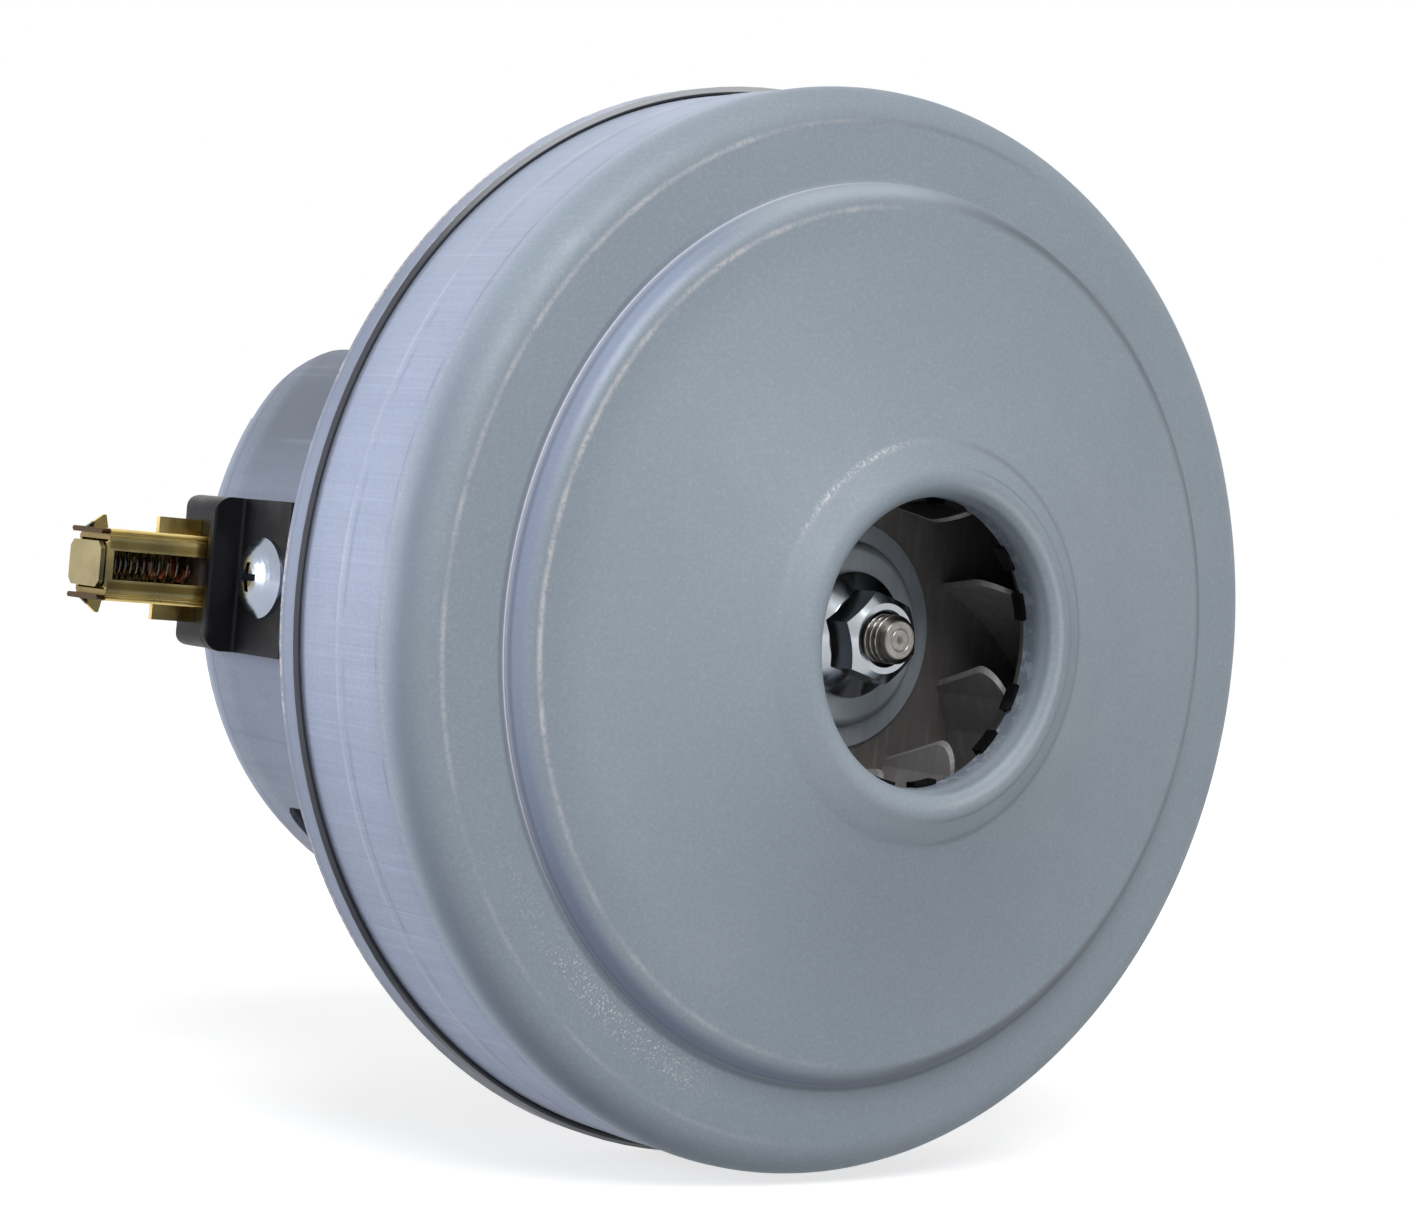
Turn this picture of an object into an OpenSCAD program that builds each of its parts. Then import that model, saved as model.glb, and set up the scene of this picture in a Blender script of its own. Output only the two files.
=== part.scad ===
// Vacuum motor unit: a single suction fan on the shaft of a two-pole brush motor.
// The shaft lies on the Y axis, the air inlet faces -Y and the brushes lie along X.
// The origin is on the shaft axis in the plane of the casing rim. Lengths are in millimetres.

/* [Fan cover] */
// Outer radius of the casing rim, the widest part of the motor
rim_r = 67.5; // [64:0.5:74]
// Depth of the cover skirt, from the rim plane to the shoulder
skirt_depth = 25; // [22:0.5:32]
// Sheet thickness of the cover
cover_t = 0.8; // [0.6:0.1:1]
// Clearance of the skirt inside the rim collar
skirt_fit = 0.1; // [0.05:0.05:0.3]
// Radius of the shoulder between skirt and front annulus
shoulder_fillet = 5; // [3:0.5:6]
// Forward slope of the front annulus
annulus_rise = 1.5; // [0.5:0.1:2.5]
// Outer radius of the raised front step
step_r = 54.7; // [54:0.1:58]
// Height of the raised front step
step_rise = 2.3; // [1.5:0.1:4]
// Radial width of the sloping flank of the raised front step
step_flank = 1.6; // [1:0.1:3]
// Rounding of the crest of the raised front step
step_crest = 2.6; // [1:0.1:3]
// Forward rise of the flared front between step and inlet lip
cone_rise = 7.45; // [6:0.05:10]
// How much steeper the flared front is at the inlet lip than at the step
cone_flare = 0.28; // [0:0.02:0.4]
// Radius of the air inlet throat
inlet_r = 17.5; // [16.5:0.1:19]
// Radial width of the inlet lip, from the throat to its foot on the cone
lip_w = 6.8; // [6:0.1:8]
// Outer roll radius of the inlet lip
lip_roll = 2.3; // [1.8:0.1:3]
// Slope of the lip's face between roll and foot
lip_slope = 30; // [20:1:40]
// Length of the straight throat behind the lip roll
throat_len = 2.6; // [2:0.1:3.5]

/* [Inlet seal] */
// Radial width of the seal ring
seal_w = 2.6; // [2:0.1:3]
// Length of the seal ring along the shaft
seal_len = 1.4; // [1:0.1:2]
// Clearance of the seal ring around the throat
seal_fit = 0.1; // [0.05:0.05:0.3]
// Pairs of hooks around the seal ring
hook_pairs = 6; // [3:1:8]
// Angle of each hook from the middle of its pair
hook_spread = 11; // [8:1:15]
// Angle of the first pair of hooks
hook_start = 29; // [0:1:59]
// Width of a hook
hook_w = 3.4; // [2:0.1:5]
// Length of a hook along the shaft
hook_len = 0.8; // [0.5:0.1:1]
// Thickness of a hook inside the throat
hook_reach = 0.5; // [0.3:0.1:1]
// How far a hook laps over the throat's inner wall
hook_lap = 0.8; // [0.4:0.1:1.6]

/* [Motor casing] */
// Sheet thickness of the casing
casing_t = 0.9; // [0.7:0.1:1.1]
// Length of the rim collar ahead of the rim plane
collar_depth = 2.5; // [1.5:0.1:4]
// Rear face of the flange behind the rim plane
flange_back = 0.6; // [0.4:0.1:1.5]
// Bend radius between flange and can
flange_bend = 2; // [1:0.5:4]
// Outer radius of the can
can_r = 45; // [44:0.5:48]
// Rear face of the can, from the rim plane
can_len = 66; // [65:0.5:76]
// Rounding of the can's rear edge
can_fillet = 8.5; // [6:0.5:8.5]
// Height of the top notch's side edges above the shaft
notch_edge = 31; // [28:0.5:34]
// Front end of the notch and of the window
notch_front = 14; // [10:0.5:20]
// Rounding of the notch's free rear corners
notch_corner = 10; // [5:0.5:10]
// Distance from the notch's rear corner to the can's rear face
notch_rear = 6; // [5:0.5:9]
// Half width of the bottom window
window_half = 33; // [24:0.5:34]
// Band left between the bottom window and the can's rear face
window_band = 12.2; // [10:0.1:16]
// Corner radius of the bottom window
window_corner = 2.5; // [1:0.5:5]
// Inner radius of the rear vent slot
vent_in = 17; // [15:0.5:20]
// Outer radius of the rear vent slot
vent_out = 29; // [24:0.5:33]
// Angle covered by the rear vent slot
vent_angle = 84; // [40:2:110]
// Radius of the hole in the rear bearing nose
nose_hole = 4.6; // [4:0.1:6]
// Rounding of the rear bearing nose
nose_fillet = 1.2; // [0.8:0.1:2]

/* [Bearings] */
// Bore of the front bearing
front_bore = 8; // [6:1:9]
// Outside diameter of the front bearing
front_od = 22; // [20:1:26]
// Width of the front bearing
front_w = 7; // [6:0.5:8]
// Ball diameter of the front bearing
front_ball = 3.9; // [3:0.1:4]
// Bore of the rear bearing
rear_bore = 7; // [5:1:8]
// Outside diameter of the rear bearing
rear_od = 19; // [17:1:22]
// Width of the rear bearing
rear_w = 6; // [5:0.5:7]
// Ball diameter of the rear bearing
rear_ball = 3.5; // [2.5:0.1:3.6]
// Balls in each bearing
ball_count = 7; // [5:1:8]
// Clearance between balls and races
race_fit = 0.12; // [0.08:0.02:0.2]
// Clearance between balls and cage pockets
pocket_fit = 0.28; // [0.2:0.02:0.4]
// Height of the wave washer behind the rear bearing
wave_h = 0.7; // [0.6:0.05:1]
// Strip thickness of the wave washer
wave_t = 0.3; // [0.2:0.05:0.4]

/* [Bearing bracket] */
// Sheet thickness of the bearing bracket
bracket_t = 1.5; // [1:0.1:2]
// Outer radius of the bearing bracket
bracket_r = 56; // [54:0.5:60]
// Wall of the bearing hub
hub_wall = 2; // [1.5:0.1:3]
// Width of a bracket spoke
spoke_w = 15; // [11:0.5:20]
// Radius of the bracket screw circle
bracket_screw_r = 51.2; // [50.5:0.1:52]

/* [Diffuser] */
// Thickness of the diffuser plate
diffuser_t = 1.5; // [1.2:0.1:2]
// Radius of the diffuser plate
diffuser_r = 61.5; // [58:0.5:62]
// Vanes on each side of the diffuser
vane_count = 11; // [7:1:15]
// Thickness of a diffuser vane
vane_t = 1.2; // [0.8:0.1:1.6]
// Radius of the diffuser screw circle
diffuser_screw_r = 30; // [26:0.5:34]
// Outer radius of a diffuser pillar
pillar_r = 3.6; // [3:0.1:4.5]

/* [Fan] */
// Outer radius of the fan
fan_r = 52; // [49:0.5:52.5]
// Number of fan blades
blade_count = 9; // [6:1:11]
// Sheet thickness of blades and fan plates
blade_t = 0.6; // [0.5:0.1:1]
// Radius of the blades' leading edges at their front
blade_lead_r = 15; // [14.8:0.1:17]
// How far the blades' leading edges lean outwards towards the back plate
blade_rake = 3; // [0.5:0.1:4]
// Angle swept by a blade from its leading edge to its tip
blade_sweep = 67; // [40:1:75]
// Angle of the first blade's leading edge
blade_start = 32.7; // [0:0.1:40]
// Rounding of the blades' front corners
blade_round = 3.4; // [1:0.1:3.6]
// Width of the fan at its rim
fan_rim_w = 6.4; // [5:0.1:8]
// Gap between cover and fan at the rim
fan_front_gap = 3.5; // [2.5:0.1:5]
// Gap between throat and fan eye
eye_gap = 1.3; // [1:0.1:2]
// Gap between fan and diffuser
fan_rear_gap = 1.6; // [1.2:0.1:3]
// Outer radius of the front clamp washer
clamp_r = 14.3; // [12:0.1:14.4]
// Height of the front clamp washer
clamp_h = 2.1; // [1.5:0.1:3]
// Thickness of the rear clamp washer
rear_clamp_t = 1; // [0.6:0.1:1.2]
// Diameter of the thread at the shaft's tip
thread_d = 6; // [5:0.5:7]
// Width of the nut across its flats
nut_af = 10; // [9.5:0.5:12]
// Turn of the nut's corners about the shaft
nut_turn = 14; // [0:1:59]
// Radius of the nut's flange
nut_flange_r = 7.8; // [7.5:0.1:9]
// Height of the nut
nut_h = 7; // [5.5:0.1:8]
// Thread that stands out of the nut
thread_out = 2.7; // [1:0.1:3]

/* [Stator] */
// Front end of the core stack
stack_front = 15; // [14:0.5:17]
// Length of the core stack
stack_len = 26; // [20:0.5:27]
// Half height of the stator across its flats
stator_flat = 39; // [38:0.5:41]
// Inner radius of the stator yoke
yoke_r = 36; // [35:0.5:37]
// Air gap between armature and poles
air_gap = 0.6; // [0.4:0.1:0.8]
// Half width of a pole neck
pole_half = 14.4; // [12:0.1:15]
// Thickness of the pole shoes
shoe_t = 4; // [3:0.1:4.5]
// Half angle covered by a pole shoe
shoe_angle = 62; // [50:1:70]
// Wall of the coil bobbins
bobbin_t = 0.8; // [0.6:0.1:1]
// Width of a field coil beside its pole
coil_w = 11; // [9:0.1:11.5]
// How far a field coil stands out of the stack at each end
coil_end = 6; // [4:0.1:6]

/* [Armature] */
// Radius of the armature core
core_r = 20; // [18:0.1:21]
// Slots in the armature core
slot_count = 12; // [8:1:12]
// Radius of the round slot
slot_r = 2.6; // [2:0.1:2.7]
// Width of the slot opening
slot_open = 2; // [1.2:0.1:2.4]
// Radius of the shaft inside the armature core
shaft_r = 5; // [4.8:0.1:5.5]
// Thickness of the armature end plates
end_plate_t = 0.8; // [0.5:0.1:1.2]
// Length of the winding heads
head_len = 3.6; // [3:0.1:3.8]
// Radius of the commutator
comm_r = 11.5; // [10.5:0.1:12.5]
// Length of the commutator
comm_len = 11.4; // [10.6:0.1:12]
// Commutator bars
bar_count = 24; // [16:1:28]
// Depth of a commutator bar
bar_depth = 2.4; // [1.5:0.1:2.8]
// Gap between commutator bars
bar_gap = 0.6; // [0.5:0.05:0.8]

/* [Brush gear] */
// Distance of the brush axis behind the rim plane
brush_y = 51.5; // [51:0.1:53]
// Width of the brush box along the shaft
box_w = 8.4; // [7.5:0.1:8.8]
// Height of the brush box
box_h = 9.2; // [8.6:0.1:10]
// Side wall of the brush box
box_wall = 0.6; // [0.5:0.05:0.8]
// Double wall above and below the brush
box_roof = 1.4; // [1:0.1:1.6]
// Distance of the brush box tip from the shaft
box_tip = 66.7; // [64:0.1:67.4]
// Height of the slot in the brush box
slot_h = 3.7; // [2.5:0.1:4]
// Distance of the slot's outer end from the shaft
slot_tip = 64.8; // [60:0.1:65]
// Height of the brush holder
holder_h = 20; // [17:0.5:22]
// Front end of the brush holder foot
holder_front = 33.5; // [32:0.5:34]
// Thickness of the holder foot at its middle
foot_t = 2.7; // [1.5:0.1:3.5]
// Height of the holder wall above the can
wall_h = 7; // [6.5:0.1:9]
// Thickness of the holder wall
wall_t = 1.5; // [1.2:0.1:2.2]
// Height of the holder body above the can
body_h = 5.5; // [4:0.1:6]
// Sliding clearance of the brush in its box
brush_fit = 0.1; // [0.05:0.05:0.2]
// Gap between brush and commutator
brush_gap = 0.15; // [0.1:0.05:0.3]
// Distance of the brush's outer end from the shaft
brush_end = 52; // [46:0.1:53]
// Outside diameter of the brush spring
spring_od = 5; // [4:0.1:5.6]
// Wire diameter of the brush spring
spring_wire = 0.45; // [0.35:0.05:0.5]
// Turns of the brush spring
spring_turns = 12; // [8:1:13]
// Pitch of the spring's tight outer turns
spring_tight = 0.92; // [0.9:0.01:1]
// Strand diameter of the pigtail
pigtail_d = 1.1; // [0.8:0.1:1.3]
// Turns of the pigtail inside the spring
pigtail_turns = 3; // [2:1:4]
// Head radius of the holder screw
holder_screw_r = 5.2; // [4:0.1:5.5]
// Distance of the holder screw behind the rim plane
holder_screw_y = 39; // [38.5:0.1:39.3]

/* [Hidden] */
$fn = 96;
fit = 0.05;
arc_steps = 8;
eps = 0.01;
big = 200;

// Planes of the cover, from the rim forwards
flange_front = flange_back - casing_t;
skirt_r = rim_r - casing_t - skirt_fit;
annulus_y = -skirt_depth;
step_y = annulus_y - annulus_rise;
cone_y = step_y - step_rise;
lip_r = inlet_r + lip_roll;
lip_foot_r = inlet_r + lip_w;
lip_foot_y = cone_y - cone_rise;
lip_end_r = lip_r + lip_roll * sin(lip_slope);
lip_end_y = lip_foot_y - (lip_foot_r - lip_end_r) * tan(lip_slope);
lip_y = lip_end_y + lip_roll * cos(lip_slope);
throat_y = lip_y + throat_len;

// Planes of the fan stack
eye_r = inlet_r + cover_t + eye_gap;
eye_y = throat_y + eye_gap;
eye_collar = 1;
shroud_y = cone_y + fan_front_gap;
back_y = shroud_y + fan_rim_w;
fan_rear_y = back_y + blade_t;
spacer_y = fan_rear_y + rear_clamp_t;
clamp_y = back_y - clamp_h;
nut_y = clamp_y - nut_h;
tip_y = nut_y - thread_out;
spacer_wall = 2.5;
spacer_r = front_bore / 2 + spacer_wall;
rear_clamp_r = spacer_r + 5.5;

// Planes of the bracket, bearings and diffuser
bracket_y = flange_front - bracket_t;
hub_lip_t = 0.8;
front_bearing_y = flange_front + hub_lip_t;
front_bearing_end = front_bearing_y + front_w;
screw_head_h = 2.4;
head_gap = 0.6;
diffuser_y = fan_rear_y + fan_rear_gap;
diffuser_back = diffuser_y + diffuser_t;
return_vane_end = bracket_y - screw_head_h - head_gap;
nose_r = rear_od / 2 + fit + casing_t;
rear_seat_y = can_len - casing_t;
seat_gap = 0.3;
rear_bearing_y = rear_seat_y - seat_gap;
rear_bearing_end = rear_bearing_y + rear_w;
nose_end = rear_bearing_end + wave_h + casing_t;
shaft_end = rear_bearing_end + seat_gap;

// Planes of the motor
stack_back = stack_front + stack_len;
comm_front = brush_y - comm_len / 2;
comm_back = brush_y + comm_len / 2;
bore_r = core_r + air_gap;
slot_depth = 3.2;
slot_ring_r = core_r - slot_r - slot_depth;
hub_r = comm_r - bar_depth;
bobbin_gap = 0.1;
bobbin_round = 0.4;
coil_low_r = bore_r + shoe_t + 0.3;
coil_high_r = yoke_r - 0.4;

// Sizes of the brush gear
brush_w = box_w - 2 * box_wall - 2 * brush_fit;
brush_h = box_h - 2 * box_roof - 2 * brush_fit;
cap_t = 0.6;
box_inner_end = 24;
sleeve_side = 0.95;
sleeve_roof = 1.4;
sleeve_w = box_w + 2 * sleeve_side;
sleeve_h = box_h + 2 * sleeve_roof;
sleeve_inner = box_inner_end + 3;
coil_floor = sleeve_h / 2 + 4;
foot_r = can_r + foot_t;
wall_r = can_r + wall_h;
body_r = can_r + body_h;
holder_root = can_r - 8;
wall_y = brush_y - sleeve_w / 2 - wall_t + 0.4;
body_back = brush_y + sleeve_w / 2 + 0.6;
wire_gap = 0.1;
spring_start = brush_end + spring_wire / 2 + wire_gap;
spring_stop = box_tip - cap_t - spring_wire / 2 - wire_gap;
spring_len = spring_stop - spring_start;
spring_wide = 2 * spring_len / spring_turns - spring_tight;
spring_r = (spring_od - spring_wire) / 2;

// Colours
cover_grey = [0.56, 0.60, 0.64];
casing_grey = [0.52, 0.54, 0.58];
black = [0.06, 0.06, 0.07];
zinc = [0.80, 0.82, 0.84];
steel = [0.62, 0.63, 0.65];
fan_metal = [0.55, 0.56, 0.57];
copper = [0.72, 0.42, 0.28];
brass = [0.66, 0.56, 0.26];
carbon = [0.13, 0.13, 0.14];
resin = [0.45, 0.24, 0.12];
paper = [0.72, 0.66, 0.50];

// Profile helpers

function unit(v) = v / norm(v);

// Points of an arc about a centre
function arc(centre, r, from, to, steps = arc_steps) =
    [for (i = [0:steps]) let (a = from + (to - from) * i / steps) centre + r * [cos(a), sin(a)]];

// Points that round the corner b of a path a, b, c
function corner(a, b, c, r) =
    let (u = unit(a - b), v = unit(c - b), half = acos(u * v) / 2)
    let (reach = r / tan(half), centre = b + unit(u + v) * r / sin(half), turn = 180 - 2 * half)
    let (from = b + u * reach - centre, to = b + v * reach - centre)
    [for (i = [0:arc_steps]) let (t = turn * i / arc_steps)
        centre + (from * sin(turn - t) + to * sin(t)) / sin(turn)];

// A path through corners given as [x, y, rounding]
function flat(p) = [p[0], p[1]];
function rounded(p) =
    [for (i = [0:len(p) - 1])
        each (p[i][2] == 0 || i == 0 || i == len(p) - 1)
            ? [flat(p[i])]
            : corner(flat(p[i - 1]), flat(p[i]), flat(p[i + 1]), p[i][2])];

// Outline of a sheet of thickness t that lies on the left of a path
function edge_normal(p, i) = let (d = p[i + 1] - p[i]) [-d[1], d[0]] / norm(d);
function left_shift(p, i) =
    let (a = edge_normal(p, max(i - 1, 0)), b = edge_normal(p, min(i, len(p) - 2)))
    (a + b) / (1 + a * b);
function sheet(p, t) = concat(p, [for (i = [len(p) - 1:-1:0]) p[i] + t * left_shift(p, i)]);

// A profile [radius, y] turned about the shaft axis
module turned(points) {
    rotate([-90, 0, 0]) rotate_extrude() polygon(points);
}

// A plain ring about the shaft axis
module ring(inner, outer, from, to) {
    turned([[inner, from], [outer, from], [outer, to], [inner, to]]);
}

// A rod along the shaft axis
module rod(r, from, to) {
    translate([0, from, 0]) rotate([-90, 0, 0]) cylinder(r = r, h = to - from);
}

// A flat shape in X and Z, with a length along the shaft
module along_shaft(from, to) {
    translate([0, to, 0]) rotate([90, 0, 0]) linear_extrude(to - from) children();
}

// A flat shape in Y and Z, with a length along the brushes
module along_brush(from, to) {
    translate([from, 0, 0]) rotate([90, 0, 90]) linear_extrude(to - from) children();
}

// Copies turned about the shaft, from +X towards +Z
module around(count, start = 0) {
    for (i = [0:count - 1]) rotate([0, -start - i * 360 / count, 0]) children();
}

// A box between two corners
module block(from, to) {
    translate(from) cube(to - from);
}

// A rectangle about the origin with rounded corners
module rounded_rect(w, h, r) {
    square([w - 2 * r, h], center = true);
    square([w, h - 2 * r], center = true);
    for (x = [-1, 1], y = [-1, 1]) translate([x * (w / 2 - r), y * (h / 2 - r)]) circle(r);
}

// Outline of a vane that trails from radius r0 to r1 through an angle
function vane(r0, r1, sweep, t, steps = 10) =
    let (mid = [for (i = [0:steps]) let (r = r0 + (r1 - r0) * i / steps)
        r * [cos(sweep * ln(r / r0) / ln(r1 / r0)), -sin(sweep * ln(r / r0) / ln(r1 / r0))]])
    let (count = len(mid) - 1)
    concat([for (i = [0:count]) mid[i] + t / 2 * left_shift(mid, i)],
        [for (i = [count:-1:0]) mid[i] - t / 2 * left_shift(mid, i)]);

// A skin of triangles over rings of points, closed on itself or capped at both ends
module skin(rings, closed = false) {
    n = len(rings[0]);
    last = len(rings) - 1;
    sides = [for (i = [0:closed ? last : last - 1], j = [0:n - 1])
        let (a = i * n + j, b = i * n + (j + 1) % n)
        let (d = (i + 1) % (last + 1) * n + j, c = (i + 1) % (last + 1) * n + (j + 1) % n)
        each [[a, d, b], [b, d, c]]];
    caps = closed ? [] : [for (j = [1:n - 2]) each
        [[0, j, j + 1], [last * n, last * n + j + 1, last * n + j]]];
    polyhedron([for (r = rings) each r], concat(sides, caps), convexity = 10);
}

// Fan cover and inlet seal

lip_steps = 2 * arc_steps;
lip_turn = 90 + lip_slope;
lip_foot_round = 3;
cone_slope = cone_rise / (step_r - lip_foot_r);
step_riser = 0.4;
flare_steps = 10;
crest_r = step_r - step_flank;
// The flared front at radius r
function flare_y(r) = lip_foot_y + cone_slope * (r - lip_foot_r)
    + cone_flare / 2 * (r - lip_foot_r) * (crest_r - r) / (crest_r - lip_foot_r);
flare_end_r = crest_r - step_crest;
flare_path = [for (i = [1:flare_steps]) let (r = lip_foot_r + (flare_end_r - lip_foot_r) * i / flare_steps)
    [r, flare_y(r), 0]];
cover_path = concat(
    [[inlet_r, throat_y]],
    arc([lip_r, lip_y], lip_roll, 180, 180 + lip_turn * (1 - 1 / lip_steps), lip_steps - 1),
    rounded(concat(
        [[lip_end_r, lip_end_y, 0], [lip_foot_r, lip_foot_y, lip_foot_round]],
        flare_path,
        [
            [crest_r, flare_y(crest_r), step_crest],
            [step_r, step_y - step_riser, 0],
            [step_r, step_y, 0],
            [skirt_r, annulus_y, shoulder_fillet],
            [skirt_r, flange_front, 0]
        ]
    ))
);

module fan_cover() {
    color(cover_grey) turned(sheet(cover_path, cover_t));
}

module inlet_seal_ring() {
    seal_in = inlet_r + cover_t + seal_fit;
    hook_y = throat_y + seal_fit;
    hook_back = hook_y + hook_len;
    hook_out = inlet_r - seal_fit;
    hook_in = hook_out - hook_reach;
    color(black) {
        ring(seal_in, seal_in + seal_w, hook_back - seal_len, hook_back);
        intersection() {
            turned([
                [hook_in, hook_y - hook_lap],
                [hook_out, hook_y - hook_lap],
                [hook_out, hook_y],
                [seal_in + eps, hook_y],
                [seal_in + eps, hook_back],
                [hook_in, hook_back]
            ]);
            for (side = [-1, 1]) around(hook_pairs, hook_start + side * hook_spread)
                block([inlet_r / 2, hook_y - big, -hook_w / 2], [big, hook_y + big, hook_w / 2]);
        }
    }
}

// Diffuser

rim_vane_r = fan_r + 1.8;
rim_vane_sweep = 14;
rim_vane_front = annulus_y + cover_t + 0.8;
diffuser_bore = spacer_r + spacer_wall;
return_vane_in = 22;
return_vane_sweep = -38;
return_vane_start = 10;
vane_inset = 0.5;
diffuser_bolt_r = 1.6;
pillars = 4;
pillar_angle = 45;

module diffuser() {
    color(black) difference() {
        union() {
            ring(diffuser_bore, diffuser_r, diffuser_y, diffuser_back);
            around(vane_count) along_shaft(rim_vane_front, diffuser_y + eps)
                polygon(vane(rim_vane_r, diffuser_r - vane_inset, rim_vane_sweep, vane_t, 4));
            around(vane_count, return_vane_start) along_shaft(diffuser_back - eps, return_vane_end)
                polygon(vane(return_vane_in, diffuser_r - 2 * vane_inset, return_vane_sweep, vane_t, 8));
            around(pillars, pillar_angle) translate([diffuser_screw_r, 0, 0])
                rod(pillar_r, diffuser_back - eps, bracket_y);
        }
        around(pillars, pillar_angle) translate([diffuser_screw_r, 0, 0]) {
            rod(diffuser_bolt_r + fit, diffuser_y - 1, bracket_y + 1);
            turned([
                [0, diffuser_y - eps],
                [2 * diffuser_bolt_r + fit, diffuser_y - eps],
                [diffuser_bolt_r, diffuser_y + diffuser_bolt_r + fit],
                [0, diffuser_y + diffuser_bolt_r + fit]
            ]);
        }
    }
}

module diffuser_screws() {
    head_r = 2 * diffuser_bolt_r;
    end = flange_front + 2;
    color(zinc) around(pillars, pillar_angle) translate([diffuser_screw_r, 0, 0]) difference() {
        turned([
            [0, diffuser_y],
            [head_r, diffuser_y],
            [diffuser_bolt_r, diffuser_y + diffuser_bolt_r],
            [diffuser_bolt_r, end],
            [0, end]
        ]);
        cross_slot(diffuser_y, span = 3.6, width = 0.8, depth = 0.7);
    }
}

// A cross recess sunk into a screw head that faces -Y at height y
module cross_slot(y, span, width, depth) {
    for (turn = [0, 90]) rotate([0, turn, 0])
        block([-span / 2, y - 1, -width / 2], [span / 2, y + depth, width / 2]);
}

// Motor casing

nose_bend = 1;
casing_path = rounded([
    [rim_r, -collar_depth, 0],
    [rim_r, flange_back, 0],
    [can_r, flange_back, flange_bend],
    [can_r, can_len, can_fillet],
    [nose_r, can_len, nose_bend],
    [nose_r, nose_end, nose_fillet],
    [nose_hole, nose_end, 0]
]);
notch_rear_y = can_len - notch_rear;
window_rear = can_len - window_band;
notch_low = notch_edge - notch_corner - 0.1;
notch_bend = 2;
bracket_bolt_r = 2;
holder_bolt_r = 1.9;

module top_notch() {
    along_brush(-big / 2, big / 2) polygon(rounded([
        [notch_front, big / 2, 0],
        [notch_front, notch_edge, notch_bend],
        [notch_rear_y, notch_edge, notch_corner],
        [notch_rear_y, notch_low, 0],
        [big, notch_low, 0],
        [big, big / 2, 0]
    ]));
}

module bottom_window() {
    translate([0, (notch_front + window_rear) / 2, -big / 2]) linear_extrude(big / 2 - can_r / 2)
        rounded_rect(2 * window_half, window_rear - notch_front, window_corner);
}

module rear_vent() {
    reach = 2 * vent_out;
    along_shaft(rear_seat_y - 1, can_len + 1) intersection() {
        difference() {
            circle(vent_out);
            circle(vent_in);
        }
        polygon([[0, 0], reach * [-sin(vent_angle / 2), -cos(vent_angle / 2)], [0, -2 * reach],
            reach * [sin(vent_angle / 2), -cos(vent_angle / 2)]]);
    }
}

module motor_casing() {
    port = 0.2;
    color(casing_grey) difference() {
        turned(sheet(casing_path, casing_t));
        top_notch();
        bottom_window();
        rear_vent();
        block([-big / 2, brush_y - sleeve_w / 2 - port, -sleeve_h / 2 - port],
            [big / 2, brush_y + sleeve_w / 2 + port, sleeve_h / 2 + port]);
        translate([0, holder_screw_y, 0]) rotate([0, 90, 0])
            cylinder(r = holder_bolt_r + fit, h = big, center = true);
        around(pillars, pillar_angle) translate([bracket_screw_r, 0, 0])
            rod(bracket_bolt_r + fit, flange_front - 1, flange_back + 1);
    }
}

// Bearing bracket

hub_seat_r = front_od / 2 + fit;
hub_r_out = hub_seat_r + hub_wall;
hub_lip_r = spacer_r + spacer_wall;
air_hole_in = hub_r_out + 3;
air_hole_out = can_r - casing_t - 1.5;

module bearing_bracket() {
    color(steel) difference() {
        turned([
            [hub_lip_r, bracket_y],
            [bracket_r, bracket_y],
            [bracket_r, flange_front],
            [hub_r_out, flange_front],
            [hub_r_out, front_bearing_end],
            [hub_seat_r, front_bearing_end],
            [hub_seat_r, front_bearing_y - fit],
            [hub_lip_r, front_bearing_y - fit]
        ]);
        difference() {
            ring(air_hole_in, air_hole_out, bracket_y - 1, flange_front + 1);
            around(pillars, pillar_angle)
                block([0, bracket_y - 2, -spoke_w / 2], [big, flange_front + 2, spoke_w / 2]);
        }
        around(pillars, pillar_angle) translate([bracket_screw_r, 0, 0])
            rod(bracket_bolt_r + fit, bracket_y - 1, flange_front + 1);
        around(pillars, pillar_angle) translate([diffuser_screw_r, 0, 0])
            rod(diffuser_bolt_r + fit, bracket_y - 1, flange_front + 1);
    }
}

module bracket_screws() {
    head_r = 3.6;
    head_y = bracket_y - screw_head_h;
    edge = 1;
    end = flange_back + 3.5;
    color(zinc) around(pillars, pillar_angle) translate([bracket_screw_r, 0, 0]) difference() {
        turned(rounded([
            [0, head_y, 0],
            [head_r, head_y, edge],
            [head_r, bracket_y, 0],
            [bracket_bolt_r, bracket_y, 0],
            [bracket_bolt_r, end, 0],
            [0, end, 0]
        ]));
        cross_slot(head_y, span = 4, width = 0.9, depth = 1.2);
    }
}

// Ball bearings

// Share of a bearing's section that each ring takes
ring_share = 0.27;

function race_r(bore, od) = (bore + od) / 4;
function ring_wall(bore, od) = (od - bore) / 2 * ring_share;

module race_groove(bore, od, ball, y) {
    translate([0, y, 0]) rotate([-90, 0, 0]) rotate_extrude()
        translate([race_r(bore, od), 0]) circle(ball / 2 + race_fit);
}

module outer_ring(bore, od, w, ball, y) {
    color(steel) difference() {
        ring(od / 2 - ring_wall(bore, od), od / 2, y, y + w);
        race_groove(bore, od, ball, y + w / 2);
    }
}

module inner_ring(bore, od, w, ball, y) {
    color(steel) difference() {
        ring(bore / 2 + fit, bore / 2 + ring_wall(bore, od), y, y + w);
        race_groove(bore, od, ball, y + w / 2);
    }
}

module ball_set(bore, od, w, ball, y) {
    color(zinc) around(ball_count) translate([race_r(bore, od), y + w / 2, 0]) sphere(d = ball);
}

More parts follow.
